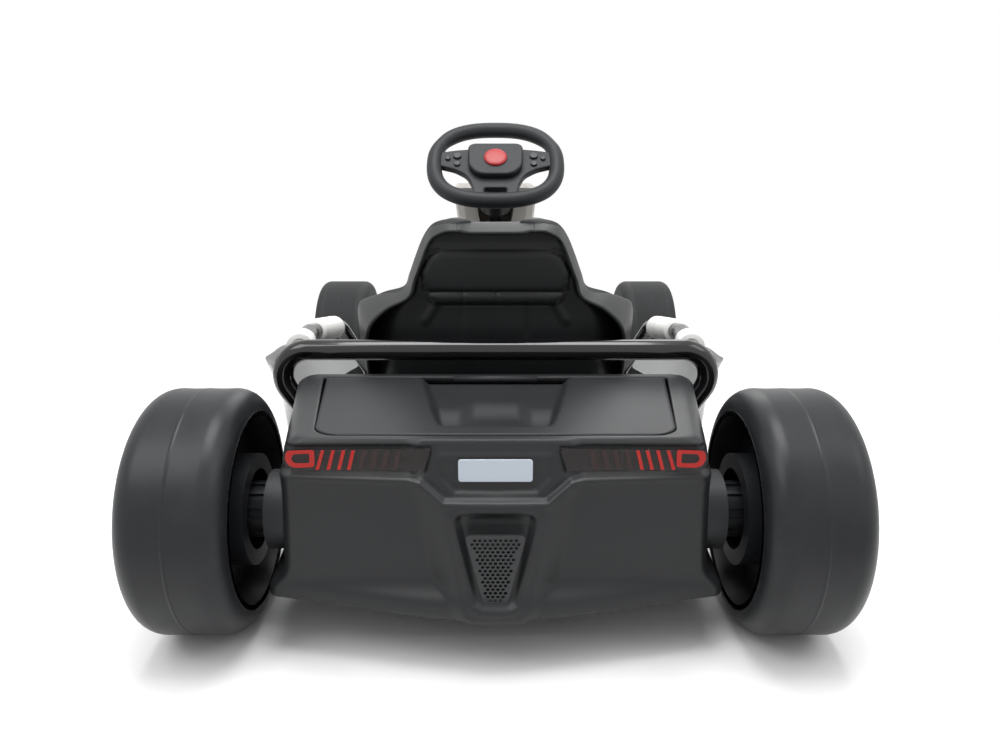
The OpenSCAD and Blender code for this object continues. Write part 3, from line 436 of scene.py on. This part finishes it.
levels = np.unique(np.round(np.concatenate([
    np.arange(65, 119, 1.8), np.arange(119, 203, 3.5), np.arange(203, 266, 1.6),
    [65.6, 262, 263.5, 264.6, 265.4, 266]]), 2))
rings = [body_ring(z) for z in levels]
top = rings[-1].copy()
top[:, 2] = BODY_TOP
rings[-1] = top
lip = opening_ring(0, BODY_TOP)
for share in (0.35, 0.75):
    ring = top + (lip - top) * share
    rings.append(ring)
rings.append(opening_ring(1.2, BODY_TOP))
rings.append(opening_ring(0.3, BODY_TOP - 0.5))
rings.append(opening_ring(0, BODY_TOP - 1.6))
rings.append(opening_ring(0, BODY_TOP - 9))
body_shell = grid_piece("rear_shell", [whole_ring(r) for r in rings], close_cols=True)
thicken(body_shell, 4)
dress(body_shell, shell_plastic, replaces=["rear_body"])
print("rear shell:", len(body_shell.data.polygons), "faces")

# %% [markdown]
# ## The lid over the battery
# The lid fills the opening with an even gap. A trough runs down its middle and ends in a finger
# scoop under a step, which is how a child's parent lifts it. Again one height field does it,
# mapped onto the lid's outline, and the edge is rolled over so that the gap reads as a dark line.

# %% Lid surface
LID_TOP, LID_FRONT, LID_REAR = BODY_TOP, 135, -70


def lid_half(y):
    """Half the lid's width at a place along it, with its rear corners rounded."""
    straight = np.interp(y, [LID_REAR, LID_FRONT], [195, 222])
    back = np.clip((LID_REAR + 26 - y) / 26, 0, 1)
    return straight - 26 + 26 * np.sqrt(1 - back ** 2)


def lid_height(x, y):
    side = np.abs(x)
    wall = np.interp(y, [-66, 4, 135], [54, 69, 94])
    step = 74 - 26 * smooth_step((side - 24) / 22)
    floor = 255 + 2 * smooth_step((y - 100) / 35)
    pocket = 243.5
    depth = pocket + (floor - pocket) * smooth_step((y - (step - 46)) / 46)
    depth = depth + (LID_TOP - depth) * smooth_step((-22 - y) / 26) * (y < -22)
    inside = smooth_step((wall - side) / 13 + 0.4)
    return LID_TOP - (LID_TOP - depth) * inside


ys = np.concatenate([np.linspace(LID_REAR, LID_REAR + 26, 16), np.linspace(LID_REAR + 28, LID_FRONT, 84)])
across = np.linspace(-1, 1, 181)
lid_grid = []
for y in ys:
    x = across * float(lid_half(y))
    z = lid_height(x, np.full_like(x, y))
    rim = np.minimum(np.minimum((1 - np.abs(across)) * lid_half(y), y - LID_REAR), LID_FRONT - y)
    z = z - 1.6 * np.clip(1 - rim / 2.2, 0, 1) ** 2
    lid_grid.append(np.stack([x, np.full_like(x, y), z], axis=1))
lid = grid_piece("lid_skin", lid_grid)
thicken(lid, 3.6, offset=-1)
dress(lid, lid_plastic, body="lid", replaces=["battery_lid"])
hinge = swept_tube("lid_hinge", [(-55, 141, 262), (55, 141, 262)], 4.8)
dress(hinge, lid_plastic, body="lid")
print("lid:", len(lid.data.polygons), "faces")

# %% [markdown]
# ## The seat
# The bucket is one blow-moulded shell whose rim turns back all round, so from behind it is
# a hollow with details pressed into its floor. It starts as the table of sections that shapes the
# solid, run through a smooth curve both ways, and the pressed details are added to the part
# of the skin that faces back.

# %% Smooth rows through a table
def smooth_rows(rows, per_step, tension=0.5):
    """Points on a smooth curve through rows of numbers, with the rows themselves kept."""
    rows = np.asarray(rows, dtype=float)
    padded = np.concatenate([2 * rows[:1] - rows[1:2], rows, 2 * rows[-1:] - rows[-2:-1]])
    made = []
    for i in range(1, len(padded) - 2):
        p0, p1, p2, p3 = padded[i - 1:i + 3]
        m1, m2 = tension * (p2 - p0), tension * (p3 - p1)
        low, high = np.minimum(p1, p2), np.maximum(p1, p2)
        for k in range(per_step):
            t = k / per_step
            p = ((2 * t**3 - 3 * t**2 + 1) * p1 + (t**3 - 2 * t**2 + t) * m1
                 + (-2 * t**3 + 3 * t**2) * p2 + (t**3 - t**2) * m2)
            made.append(np.clip(p, low, high))
    return np.array(made + [rows[-1]])


# columns: centre y, centre z, lip y, lip z, flat half-width, lip half-width, skirt depth
SEAT_ROWS = [
    [565, 114, 565, 124, 130, 160, 6], [552, 128, 556, 150, 130, 172, 24],
    [520, 132, 522, 188, 130, 190, 60], [460, 126, 466, 222, 130, 200, 84],
    [390, 118, 410, 256, 130, 205, 100], [320, 114, 368, 284, 128, 205, 110],
    [268, 126, 340, 302, 124, 205, 120], [240, 160, 325, 314, 118, 205, 124],
    [228, 215, 314, 322, 114, 205, 118], [223, 270, 305, 330, 110, 202, 110],
    [220, 318, 295, 338, 107, 195, 95], [218, 345, 268, 352, 105, 165, 66],
    [216, 362, 246, 365, 103, 128, 44], [213, 385, 238, 387, 98, 117, 34],
    [210, 410, 234, 412, 92, 107, 30], [207, 435, 230, 437, 82, 96, 26],
    [203, 451, 222, 454, 62, 84, 20], [200, 459, 214, 460, 36, 66, 10],
    [199, 461, 211, 462, 24, 48, 6]]
BOLSTER = [[0, 0], [.35, .05], [.6, .3], [.78, .66], [.9, .92], [.96, 1], [1, .985]]


def seat_section(row, turn=0):
    """Half a section of the seat: flat middle, bolster, rolled rim and the skirt behind it.

    Over the top the rim turns back level with the skirt: turn says how far along it is."""
    cy, cz, ly, lz, flat, out, skirt = row
    centre = np.array([0, cy, cz])
    up = np.array([0, ly - cy, lz - cz])
    back = -up / np.linalg.norm(up)
    points = [centre + (x, 0, 0) for x in np.linspace(0, flat, 26)[:-1]]
    for s, rise in smooth_rows(BOLSTER, 4):
        points.append(centre + (flat + (out - flat) * s, 0, 0) + up * rise)
    rim = centre + (out + 1.5, 0, 0) + up * 0.975
    low = smooth_step((380 - lz) / 60)
    over = np.interp(lz, [387, 412, 437, 454, 460, 462], [0, 0.2, 0.5, 0.83, 0.98, 1])
    taper = (9 + 15 * low - 2.5 * over) * np.array([math.sqrt(1 - over * over), 0, over])
    reach = max(skirt, 34)
    if turn:
        points = [p + back * (2 + reach * turn) - taper * turn ** 1.3 for p in points]
    points.append(rim + back * (2 + reach * turn if turn else 1.5) - taper * turn ** 1.3)
    for k in np.maximum(np.linspace(0.03, 1, 14), turn):
        points.append(rim + back * (2 + reach * k) + (0.4, 0, 0) - taper * k ** 1.3)
    return np.array(points)


seat_grid = []
for row in smooth_rows(SEAT_ROWS, 7):
    half = seat_section(row)
    seat_grid.append(np.concatenate([half[:0:-1] * (-1, 1, 1), half]))
for turn in np.linspace(0.06, 1, 9):
    half = seat_section(SEAT_ROWS[-1], turn)
    seat_grid.append(np.concatenate([half[:0:-1] * (-1, 1, 1), half]))
seat_grid = np.array(seat_grid)

# Details pressed into the back: a raised D panel, a ledge, seams, and slanting channels
x, y, z = seat_grid[..., 0], seat_grid[..., 1], seat_grid[..., 2]
on_back = smooth_step((z - 250) / 30) * (np.abs(x) < 125)
d_panel = outline_distance(mirrored([(0, 421), (70, 421), (88, 412), (98, 392), (96, 372), (88, 367), (0, 367)]), x, z)
relief = -6.0 * smooth_step(0.5 - d_panel / 5)
ledge = outline_distance(mirrored([(0, 364), (92, 364), (84, 351), (0, 351)]), x, z)
relief = relief - 9 * smooth_step(0.5 - ledge / 5)
for seam_x, low_z, high_z in ((-46, 300, 366), (0, 350, 366), (43, 300, 366)):
    groove = np.exp(-((x - seam_x) / 1.3) ** 2) * smooth_step((z - low_z) / 6) * smooth_step((high_z - z) / 3)
    relief = relief + 3.2 * groove
for sign in (-1, 1):
    slant = sign * x - (82 + (348 - z) * 0.62)
    relief = relief - 3.5 * np.exp(-(slant / 3.2) ** 2) * smooth_step((352 - z) / 4) * smooth_step((z - 318) / 4)
quilt = smooth_step((z - 423) / 2) * smooth_step((431 - z) / 2)
relief = relief - quilt * (0.7 + 0.7 * np.cos(x * 0.9) * np.cos(z * 0.9))
seat_grid[..., 1] = y + relief * on_back
seat = grid_piece("seat_bucket_shell", seat_grid)
merge_close(seat)
thicken(seat, 4, offset=1)
dress(seat, seat_plastic, replaces=["seat_shell"])
print("seat:", len(seat.data.polygons), "faces")

# %% [markdown]
# ## Tubes and foam sleeves
# The hoop, the side rails and the bumper are bent steel tube with a glossy coat. The sleeves on
# the rails are soft foam pipe, so their outline is never quite even.

# %% Bent tubes
HOOP_Y, HOOP_Z, HOOP_X = 170, 294, 304
hoop = swept_tube("hoop_tube", round_path(
    [(190, HOOP_Y, 106.3), (321, HOOP_Y, HOOP_Z), (-321, HOOP_Y, HOOP_Z), (-190, HOOP_Y, 106.3)], 36, 14), 14, 36)
sharpen(hoop)
dress(hoop, gloss_black, replaces=["rear_hoop"])

SIDE_RAIL = [(270, 185.5, 289), (281, 300, 286), (265, 462, 257), (240, 610, 129.3), (240, 610, 97.3)]
FOAM_SPANS = [(0, 0.1, 0.52), (1, 0.14, 0.8)]
for side_name, sign in (("left", -1), ("right", 1)):
    corners = [(sign * cx, cy, cz) for cx, cy, cz in SIDE_RAIL]
    rail = swept_tube("side_rail_" + side_name, round_path(corners, 60, 12), 12.5, 28)
    sharpen(rail)
    dress(rail, gloss_black, replaces=["side_rails"])
    for number, (leg, start, stop) in enumerate(FOAM_SPANS, 1):
        a, b = Vector(corners[leg]), Vector(corners[leg + 1])
        first, last = a.lerp(b, start) + (b - a).normalized() * 8, a.lerp(b, stop)
        stations = np.linspace(0, 1, 40)
        path = [first.lerp(last, t) for t in stations]
        bulge = [18.6 + 0.25 * math.sin(31 * t + leg) + 0.12 * math.sin(77 * t)
                 - 1.8 * max(0, 1 - t * 40) - 1.8 * max(0, 1 - (1 - t) * 40) for t in stations]
        sleeve = swept_tube("foam_sleeve_%s_%d" % (side_name, number), path, bulge, 40)
        sharpen(sleeve, 60)
        dress(sleeve, foam, replaces=["foam_sleeves"])

bumper = swept_tube("bumper_tube", round_path(
    [(-172, 1022.3, 85), (-172, 1102, 85), (172, 1102, 85), (172, 1022.3, 85)], 40, 12), 14, 32)
sharpen(bumper)
dress(bumper, gloss_black, replaces=["front_bumper"])
print("tubes and sleeves done")

# %% [markdown]
# ## White panels and nose
# These blown panels are loose, rounded shapes. A coarse cage through the solid's own sections
# with a subdivision modifier gives them that softness with few points.

# %% Soft shells from coarse cages
def soft_shell(name, rows, wall, levels=2, offset=-1):
    shell = grid_piece(name, rows)
    thicken(shell, wall, offset)
    add_modifier(shell, "SUBSURF", levels=levels, render_levels=levels)
    return shell


FAIRING_ROWS = [
    [176, 284, 306, 274, 307, 303], [210, 284, 306, 247, 313, 307], [260, 276, 306, 206, 322, 312],
    [332, 262, 303, 148, 331, 318], [345, 258, 302, 78, 336, 186], [430, 240, 296, 74, 340, 182],
    [520, 214, 290, 74, 340, 182], [590, 176, 282, 74, 334, 184], [640, 130, 268, 76, 320, 190]]


def lerp(a, b, t):
    return a + (b - a) * t


def fairing_section(row, sign):
    y, z_top, x_top, z_low, x_low, x_in = row
    points = [(x_top - 4, z_top + 2), (x_top + 4, z_top - 2),
              (lerp(x_top, x_low, 0.6) + 5, lerp(z_top, z_low, 0.35)), (x_low + 2, lerp(z_top, z_low, 0.75)),
              (x_low - 1, lerp(z_top, z_low, 0.93)), (x_low - 6, z_low - 1),
              (lerp(x_low, x_in, 0.5), z_low - 3), (x_in, z_low - 3)]
    return [(sign * x, y, z) for x, z in points]


for side_name, sign in (("left", -1), ("right", 1)):
    fairing = soft_shell("fairing_" + side_name, [fairing_section(r, sign) for r in FAIRING_ROWS], 3)
    dress(fairing, white_plastic, replaces=["side_fairing_" + side_name])

NOSE_ROWS = [
    [-72.7, 182, 118, 330, 116], [15, 186, 122, 302, 116], [95, 190, 122, 264, 114],
    [155, 206, 118, 226, 114], [215, 222, 108, 186, 114], [252, 208, 92, 152, 116], [266, 176, 66, 126, 118]]


def nose_section(row):
    y, low, high, top, base = 845 + row[0], *row[1:]
    half = [(0, top), (high / 2, lerp(base, top, 0.99)), (high, lerp(base, top, 0.94)),
            (lerp(low, high, 0.35), lerp(base, top, 0.75)), (low, lerp(base, top, 0.35)), (low, base)]
    return [(-x, y, z) for x, z in reversed(half[1:])] + [(x, y, z) for x, z in half]


nose = soft_shell("nose_skin", [nose_section(r) for r in NOSE_ROWS], 3.5)
dress(nose, white_plastic, replaces=["nose_cowl"])
print("panels done")

# %% [markdown]
# ## Wheels
# The rear wheels are hard drift slicks: one smooth barrel with a seam where the two mould halves
# met. A profile turned about the axle is all they need, and the wear is left to the finish.
# The front tyres are softer and carry fine ribs.

# %% Tyres
REAR_R, REAR_W, REAR_X = 144, 118, 282
FRONT_R, FRONT_W, FRONT_X = 131, 107, 268
FRONT_Y = 845


def tyre_profile(r, w, bead, shoulder, ribs=()):
    """From the bead inside, over the tread, to the bead outside."""
    points = [(bead, 1.5), (bead + 1.5, 0), (r - shoulder - 6, 0)]
    for a in np.linspace(0, math.pi / 2, 12):
        points.append((r - shoulder + shoulder * math.sin(a), shoulder - shoulder * math.cos(a)))
    points += list(ribs)
    for a in np.linspace(math.pi / 2, 0, 12):
        points.append((r - shoulder + shoulder * math.sin(a), w - shoulder + shoulder * math.cos(a)))
    points += [(r - shoulder - 6, w), (bead + 1.5, w), (bead, w - 1.5)]
    return points + [(bead, w / 2), points[0]]


seam = [(REAR_R - 0.5, 40), (REAR_R - 0.3, 56), (REAR_R - 0.3, 58.3), (REAR_R, 58.7), (REAR_R, 59.3),
        (REAR_R - 0.3, 59.7), (REAR_R - 0.3, 62), (REAR_R - 0.5, 78)]
rear_profile = tyre_profile(REAR_R, REAR_W, 116, 27, seam)
lines = []
for out in np.arange(22, 86, 3.1):
    lines += [(FRONT_R, out), (FRONT_R, out + 2.2), (FRONT_R - 0.5, out + 2.5), (FRONT_R - 0.5, out + 2.8)]
front_profile = tyre_profile(FRONT_R, FRONT_W, 84, 18, lines)

for side_name, sign in (("left", -1), ("right", 1)):
    slick = turned("rear_slick_" + side_name, rear_profile, (sign * REAR_X, 0, REAR_R), sign, 160)
    dress(slick, slick_plastic, "rear_wheel_" + side_name, ["rear_tyre_" + side_name])
    tyre = turned("front_rubber_" + side_name, front_profile, (sign * FRONT_X, FRONT_Y, FRONT_R), sign, 144)
    dress(tyre, tyre_rubber, "front_wheel_" + side_name, ["front_tyre_" + side_name])

# %% [markdown]
# ## Lamps and plate
# Behind each smoked lens lie a closed red loop at the outer end and a fan of slanting bars. The
# plate stays blank, with a thin dark border.

# %% Flat pieces cut from outlines
def cut_piece(name, outlines, depth, place, bevel=0.0):
    """A plate of some thickness from outlines in its own plane; inner outlines cut holes."""
    curve = bpy.data.curves.new(name, "CURVE")
    curve.dimensions = "2D"
    curve.fill_mode = "BOTH"
    curve.extrude = (depth / 2 - bevel) * MM
    curve.bevel_depth = bevel * MM
    curve.bevel_resolution = 2
    curve.offset = -bevel * MM
    for outline in outlines:
        spline = curve.splines.new("POLY")
        spline.points.add(len(outline) - 1)
        for point, (x, y) in zip(spline.points, outline):
            point.co = (x * MM, y * MM, 0, 1)
        spline.use_cyclic_u = True
    holder = bpy.data.objects.new(name + "_outline", curve)
    bpy.context.scene.collection.objects.link(holder)
    bpy.context.view_layer.update()
    mesh = bpy.data.meshes.new_from_object(holder.evaluated_get(bpy.context.evaluated_depsgraph_get()))
    bpy.data.objects.remove(holder)
    bpy.data.curves.remove(curve)
    mesh.name = name
    mesh.transform(Matrix.Translation((0, REAR_AXLE * MM, 0)) @ place)
    piece = bpy.data.objects.new(name, mesh)
    bpy.context.scene.collection.objects.link(piece)
    sharpen(piece, 30)
    return piece


def rounded(outline, r, steps=6):
    """The outline with each corner turned into an arc."""
    made = []
    count = len(outline)
    for i in range(count):
        a, b, c = (Vector(outline[(i + k - 1) % count]) for k in range(3))
        u, w = (a - b), (c - b)
        reach = min(r, u.length * 0.45, w.length * 0.45)
        start, stop = b + u.normalized() * reach, b + w.normalized() * reach
        for k in range(steps + 1):
            t = k / steps
            made.append(tuple(start.lerp(b, t).lerp(b.lerp(stop, t), t)))
    return made


def facing_back(y, z, tilt=0):
    """Stands a plane upright with its front to the rear: x stays, its y runs up."""
    return Matrix.Translation((0, y * MM, z * MM)) @ Matrix.Rotation(math.radians(90 - tilt), 4, "X")


BAND_TILT = math.degrees(math.atan(5 / 26))
LENS = [(67, 26), (221, 24), (224, 16), (222, 8), (216, 2), (75, 2)]
BARS = [(171, 163.5), (160.5, 152.5), (149.5, 141.5), (139, 131)]
smoke = new_material("smoked_lens", (0.03, 0.022, 0.02), 0.08, Alpha=0.3, Coat_Weight=0.2, Coat_Roughness=0.05)
haze = node(smoke, "ShaderNodeTexNoise", Scale=60, Detail=3)
haze_range = node(smoke, "ShaderNodeMapRange")
haze_range.inputs["To Min"].default_value = 0.04
haze_range.inputs["To Max"].default_value = 0.1
link(smoke, coordinates(smoke), haze.inputs["Vector"])
link(smoke, haze.outputs["Fac"], haze_range.inputs["Value"])
link(smoke, haze_range.outputs["Result"], smoke.node_tree.nodes["Principled BSDF"].inputs["Roughness"])

for side_name, sign in (("left", -1), ("right", 1)):
    def flip(points):
        return [(sign * x, y) for x, y in points]

    lens = cut_piece("lens_" + side_name, [rounded(flip(LENS), 4)], 2.2, facing_back(-94.4, 232, BAND_TILT), 0.5)
    dress(lens, smoke, replaces=["tail_lens"])
    loop = [(190, 24.5), (219, 23.5), (221, 15), (217, 8), (210, 5.5), (190, 6.5)]
    hole = [(195, 20.8), (212, 20), (214.5, 14.5), (211, 10.2), (195, 10.4)]
    red_loop = cut_piece("lamp_loop_" + side_name, [rounded(flip(loop), 3), rounded(flip(hole), 2)], 1.2,
                         facing_back(-94.7, 232, BAND_TILT))
    dress(red_loop, lamp_red, replaces=["lamp_bars"])
    for number, (top_x, low_x) in enumerate(((181, 187), (170, 175.5), (159, 164.5), (149, 154)), 1):
        bar = cut_piece("lamp_bar_%s_%d" % (side_name, number),
                        [flip([(top_x - 1.8, 24), (top_x + 1.8, 24), (low_x + 1.8, 3.5), (low_x - 1.8, 3.5)])],
                        1.2, facing_back(-94.7, 232, BAND_TILT))
        dress(bar, lamp_red)
    for number, (top_x, low_x) in enumerate(((137, 142), (125, 130), (113, 118), (101, 106)), 1):
        bar = cut_piece("lamp_shade_%s_%d" % (side_name, number),
                        [flip([(top_x - 2.5, 24), (top_x + 2.5, 24), (low_x + 2.5, 3.5), (low_x - 2.5, 3.5)])],
                        1.0, facing_back(-94.7, 232, BAND_TILT))
        dress(bar, dark_red)

PLATE = [(-40, -13.5), (40, -13.5), (40, 13.5), (-40, 13.5)]
border = cut_piece("plate_border", [rounded(PLATE, 4)], 1.0, facing_back(-95.9, 235.5))
dress(border, trim_black, replaces=["plate"])
inner_plate = [(x * 0.975, y * 0.93) for x, y in PLATE]
blank = cut_piece("plate_blank", [rounded(inner_plate, 3.4)], 1.2, facing_back(-96.6, 235.5), 0.3)
dress(blank, plate_paint)
print("lamps and plate done")

# %% Speaker grille with its six-sided holes
GRILLE_TILT = -math.degrees(math.atan(8 / 97))


def grille_half(y):
    return 13 + 19 * (y + 4) / 86


holes = []
for row_number in range(17):
    hole_y = 1 + row_number * 4.7
    for column in range(-8, 9):
        hole_x = (column + (row_number % 2) / 2) * 5.4
        if abs(hole_x) < grille_half(hole_y) - 5:
            holes.append([(hole_x + 2 * math.sin(a), hole_y + 2 * math.cos(a))
                          for a in np.arange(0, 2 * math.pi - 0.1, math.pi / 3)])
grille_edge = rounded([(-13, -4), (13, -4), (32, 82), (-32, 82)], 6)
grille = cut_piece("grille_mesh", [grille_edge] + holes, 2.4, facing_back(-116.9, 93, GRILLE_TILT))
dress(grille, trim_black, replaces=["speaker_grille"])
print("grille with", len(holes), "holes")

# %% [markdown]
# ## Steering wheel
# A small sport wheel with a flat bottom and thumb rests. The rim is a tube whose thickness
# changes on the way round, the spokes are one cut plate with rounded edges, and the pad in the
# middle is a low crowned cushion shape with a plain red horn button.

# %% The wheel's own plane
COLUMN = math.radians(49)
WHEEL_CENTRE = Vector((0, 559.2, 519.3))
wheel_place = (Matrix.Translation(WHEEL_CENTRE * MM) @ Matrix.Rotation(math.pi / 2 - COLUMN, 4, "X"))


def wheel_point(x, y, z):
    return WHEEL_CENTRE + Matrix.Rotation(math.pi / 2 - COLUMN, 3, "X") @ Vector((x, y, z))


def wheel_outline(angle):
    """The rim's middle line: wide, flattened below, fuller at the hands."""
    power = 2.5
    c, s = math.cos(angle), math.sin(angle)
    reach = (abs(c / 105.5) ** power + abs(s / 86.5) ** power) ** (-1 / power)
    x, y = reach * c, reach * s
    if y < -60:
        y = -60 - (-60 - y) * 0.92
    return x, max(y, -86.5)


angles = np.linspace(0, 2 * math.pi, 96, endpoint=False)
rim_path = [wheel_point(*wheel_outline(a), 0) for a in angles]
thumbs = [13.2 - 1.5 * math.exp(-((math.degrees(a) % 180 - 28) / 9) ** 2 if a < math.pi / 2 else
                                -((180 - math.degrees(a) - 28) / 9) ** 2) for a in angles]
rim = swept_tube("wheel_rim", rim_path, thumbs, 28, closed=True)
dress(rim, wheel_plastic, "steering", ["steering_wheel"])

spokes = mirrored([(0, 34), (40, 33), (70, 30), (100, 24), (102, -6), (70, -16), (50, -30), (40, -52), (36, -84), (0, -84)])
window = rounded([(-20, -60), (20, -60), (17, -76), (-17, -76)], 5)
spoke_plate = cut_piece("wheel_spokes", [rounded(spokes, 8), window], 12, wheel_place, 2.5)
dress(spoke_plate, wheel_plastic, "steering")
pad = cut_piece("wheel_centre_pad", [rounded([(-48, 35), (48, 35), (46, -20), (28, -39), (-28, -39), (-46, -20)], 16)],
                11.5, wheel_place @ Matrix.Translation((0, 0, 12 * MM)), 3)
dress(pad, wheel_plastic, "steering", ["wheel_pad"])
for sign in (-1, 1):
    for number, (bx, by, r) in enumerate(((66, 14, 7), (66, -5, 5.5), (82, 8, 4.5)), 1):
        ring = [(sign * bx + r * math.cos(a), by + r * math.sin(a)) for a in np.linspace(0, 2 * math.pi, 28)[:-1]]
        button = cut_piece("wheel_button_%d_%d" % (sign + 2, number), [ring], 4,
                           wheel_place @ Matrix.Translation((0, 0, 7.5 * MM)), 1)
        dress(button, trim_black, "steering")
horn_profile = [(0, 22.6), (8, 22.5), (15, 22.0), (18.5, 21.2), (19.6, 20), (20, 18.6)]
horn_grid = [[tuple(wheel_point(r * math.cos(a), -2 + r * math.sin(a), out)) for a in np.linspace(0, 2 * math.pi, 48, endpoint=False)]
             for r, out in horn_profile]
horn = grid_piece("horn_cap", horn_grid, close_cols=True)
dress(horn, horn_plastic, "steering", ["horn_button"])
print("steering wheel done")

# %% [markdown]
# ## The rest of the solid model
# Frame, axle, gearboxes, knuckles and pedals are exact already, so they only get their finish.

# %% Finishes for the carried-over nodes
CARRIED = {
    "lower_frame": frame_paint, "floor_pan": frame_paint, "seat_runners": frame_paint,
    "battery": battery_case, "gearbox_left": gear_plastic, "gearbox_right": gear_plastic,
    "rear_axle": steel, "headlamps": None, "console": console_painted_shade,
    "accelerator_pedal": pedal_rubber, "brake_pedal": pedal_rubber, "steering_shaft": cap_plastic,
    "knuckle_left": frame_paint, "knuckle_right": frame_paint, "tie_rod": steel,
    "front_rim_left": rim_plastic, "front_rim_right": rim_plastic,
    "rear_rim_left": rim_plastic, "rear_rim_right": rim_plastic,
    "front_cap_left": cap_plastic, "front_cap_right": cap_plastic,
    "rear_cap_left": cap_plastic, "rear_cap_right": cap_plastic,
}
lamp_glass = moulded("lamp_glass", (0.7, 0.74, 0.78), 0.12, vary=0.03, grain=120, bump=0.3, Coat_Weight=0.8)
for name, finish in CARRIED.items():
    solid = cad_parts[name]
    solid.data.materials.clear()
    solid.data.materials.append(finish or lamp_glass)
print(len(CARRIED), "nodes kept")

# %% [markdown]
# ## Studio
# The photograph was cut out on white with a soft shadow. A pale floor takes the shadow, the
# world is white only for rays that see it directly or as a reflection, and large soft lamps
# light the kart at a plain level.

# %% Floor, world, lamps and camera
scene = bpy.context.scene
scene.view_settings.view_transform = "Standard"

floor_mesh = bpy.data.meshes.new("floor")
floor_mesh.from_pydata([(-12, -12, 0), (12, -12, 0), (12, 14, 0), (-12, 14, 0)], [], [(0, 1, 2, 3)])
floor = bpy.data.objects.new("floor", floor_mesh)
scene.collection.objects.link(floor)
floor_paint = new_material("floor_paint", (0.9, 0.9, 0.9), 0.8, Specular_IOR_Level=0.0)
floor_shader = floor_paint.node_tree.nodes["Principled BSDF"]
grain = node(floor_paint, "ShaderNodeTexNoise", Scale=14, Detail=4)
link(floor_paint, coordinates(floor_paint), grain.inputs["Vector"])
tone = ramp(floor_paint, grain.outputs["Fac"], [(0.3, (0.89, 0.89, 0.89)), (0.7, (0.91, 0.91, 0.91))])
dim = node(floor_paint, "ShaderNodeMix", data_type="RGBA")
path = node(floor_paint, "ShaderNodeLightPath")
link(floor_paint, path.outputs["Is Diffuse Ray"], dim.inputs["Factor"])
link(floor_paint, tone.outputs["Color"], dim.inputs["A"])
dim.inputs["B"].default_value = (0.28, 0.28, 0.28, 1)
link(floor_paint, dim.outputs["Result"], floor_shader.inputs["Base Color"])

# Away from the kart the floor fades into the white of the backdrop
where = node(floor_paint, "ShaderNodeTexCoord")
away = node(floor_paint, "ShaderNodeVectorMath", operation="LENGTH")
link(floor_paint, where.outputs["Object"], away.inputs[0])
fade = node(floor_paint, "ShaderNodeMapRange", interpolation_type="SMOOTHSTEP")
fade.inputs["From Min"].default_value = 0.75
fade.inputs["From Max"].default_value = 1.7
link(floor_paint, away.outputs["Value"], fade.inputs["Value"])
white = node(floor_paint, "ShaderNodeEmission", Strength=1.0)
white.inputs["Color"].default_value = (1, 1, 1, 1)
blend = node(floor_paint, "ShaderNodeMixShader")
link(floor_paint, fade.outputs["Result"], blend.inputs[0])
link(floor_paint, floor_shader.outputs["BSDF"], blend.inputs[1])
link(floor_paint, white.outputs["Emission"], blend.inputs[2])
seen_direct = node(floor_paint, "ShaderNodeMixShader")
is_diffuse = node(floor_paint, "ShaderNodeLightPath")
link(floor_paint, is_diffuse.outputs["Is Diffuse Ray"], seen_direct.inputs[0])
link(floor_paint, blend.outputs["Shader"], seen_direct.inputs[1])
link(floor_paint, floor_shader.outputs["BSDF"], seen_direct.inputs[2])
link(floor_paint, seen_direct.outputs["Shader"], floor_paint.node_tree.nodes["Material Output"].inputs["Surface"])
floor.data.materials.append(floor_paint)

world = bpy.data.worlds.new("studio")
scene.world = world
world.use_nodes = True
background = world.node_tree.nodes["Background"]
background.inputs["Color"].default_value = (1, 1, 1, 1)
rays = node(world, "ShaderNodeLightPath")
shown = node(world, "ShaderNodeMath", operation="MAXIMUM")
link(world, rays.outputs["Is Camera Ray"], shown.inputs[0])
link(world, rays.outputs["Is Glossy Ray"], shown.inputs[1])
shown_all = node(world, "ShaderNodeMath", operation="MAXIMUM")
link(world, shown.outputs[0], shown_all.inputs[0])
link(world, rays.outputs["Is Transmission Ray"], shown_all.inputs[1])
direction = node(world, "ShaderNodeTexCoord")
height = node(world, "ShaderNodeSeparateXYZ")
link(world, direction.outputs["Generated"], height.inputs["Vector"])
sky = node(world, "ShaderNodeMapRange", interpolation_type="SMOOTHSTEP")
sky.inputs["From Min"].default_value = -0.05
sky.inputs["From Max"].default_value = 0.8
sky.inputs["To Min"].default_value = 0.07
sky.inputs["To Max"].default_value = 1.0
link(world, height.outputs["Z"], sky.inputs["Value"])
strength = node(world, "ShaderNodeMix", data_type="FLOAT")
link(world, shown_all.outputs[0], strength.inputs["Factor"])
link(world, sky.outputs["Result"], strength.inputs["A"])
strength.inputs["B"].default_value = 1.0
link(world, strength.outputs["Result"], background.inputs["Strength"])

LAMPS = [("key", (-1.7, -1.5, 2.9), 1.6, 30), ("fill", (2.2, -1.0, 2.6), 1.6, 16),
         ("top", (0, -0.3, 3.2), 1.8, 72), ("front", (0.4, 2.8, 2.2), 1.8, 22)]
for name, spot, size, power in LAMPS:
    light = bpy.data.lights.new(name, "AREA")
    light.size = size
    light.energy = power
    lamp = bpy.data.objects.new(name, light)
    lamp.location = spot
    lamp.rotation_euler = (Vector((0, -0.1, 0.25)) - Vector(spot)).to_track_quat("-Z", "Y").to_euler()
    scene.collection.objects.link(lamp)

camera_data = bpy.data.cameras.new("camera")
camera_data.lens = 28.8
camera_data.shift_x = 0.0045
camera = bpy.data.objects.new("camera", camera_data)
camera.location = (0, -1.354, 0.576)
camera.rotation_euler = (math.radians(90 - 17), 0, 0)
scene.collection.objects.link(camera)
scene.camera = camera
print("studio ready")
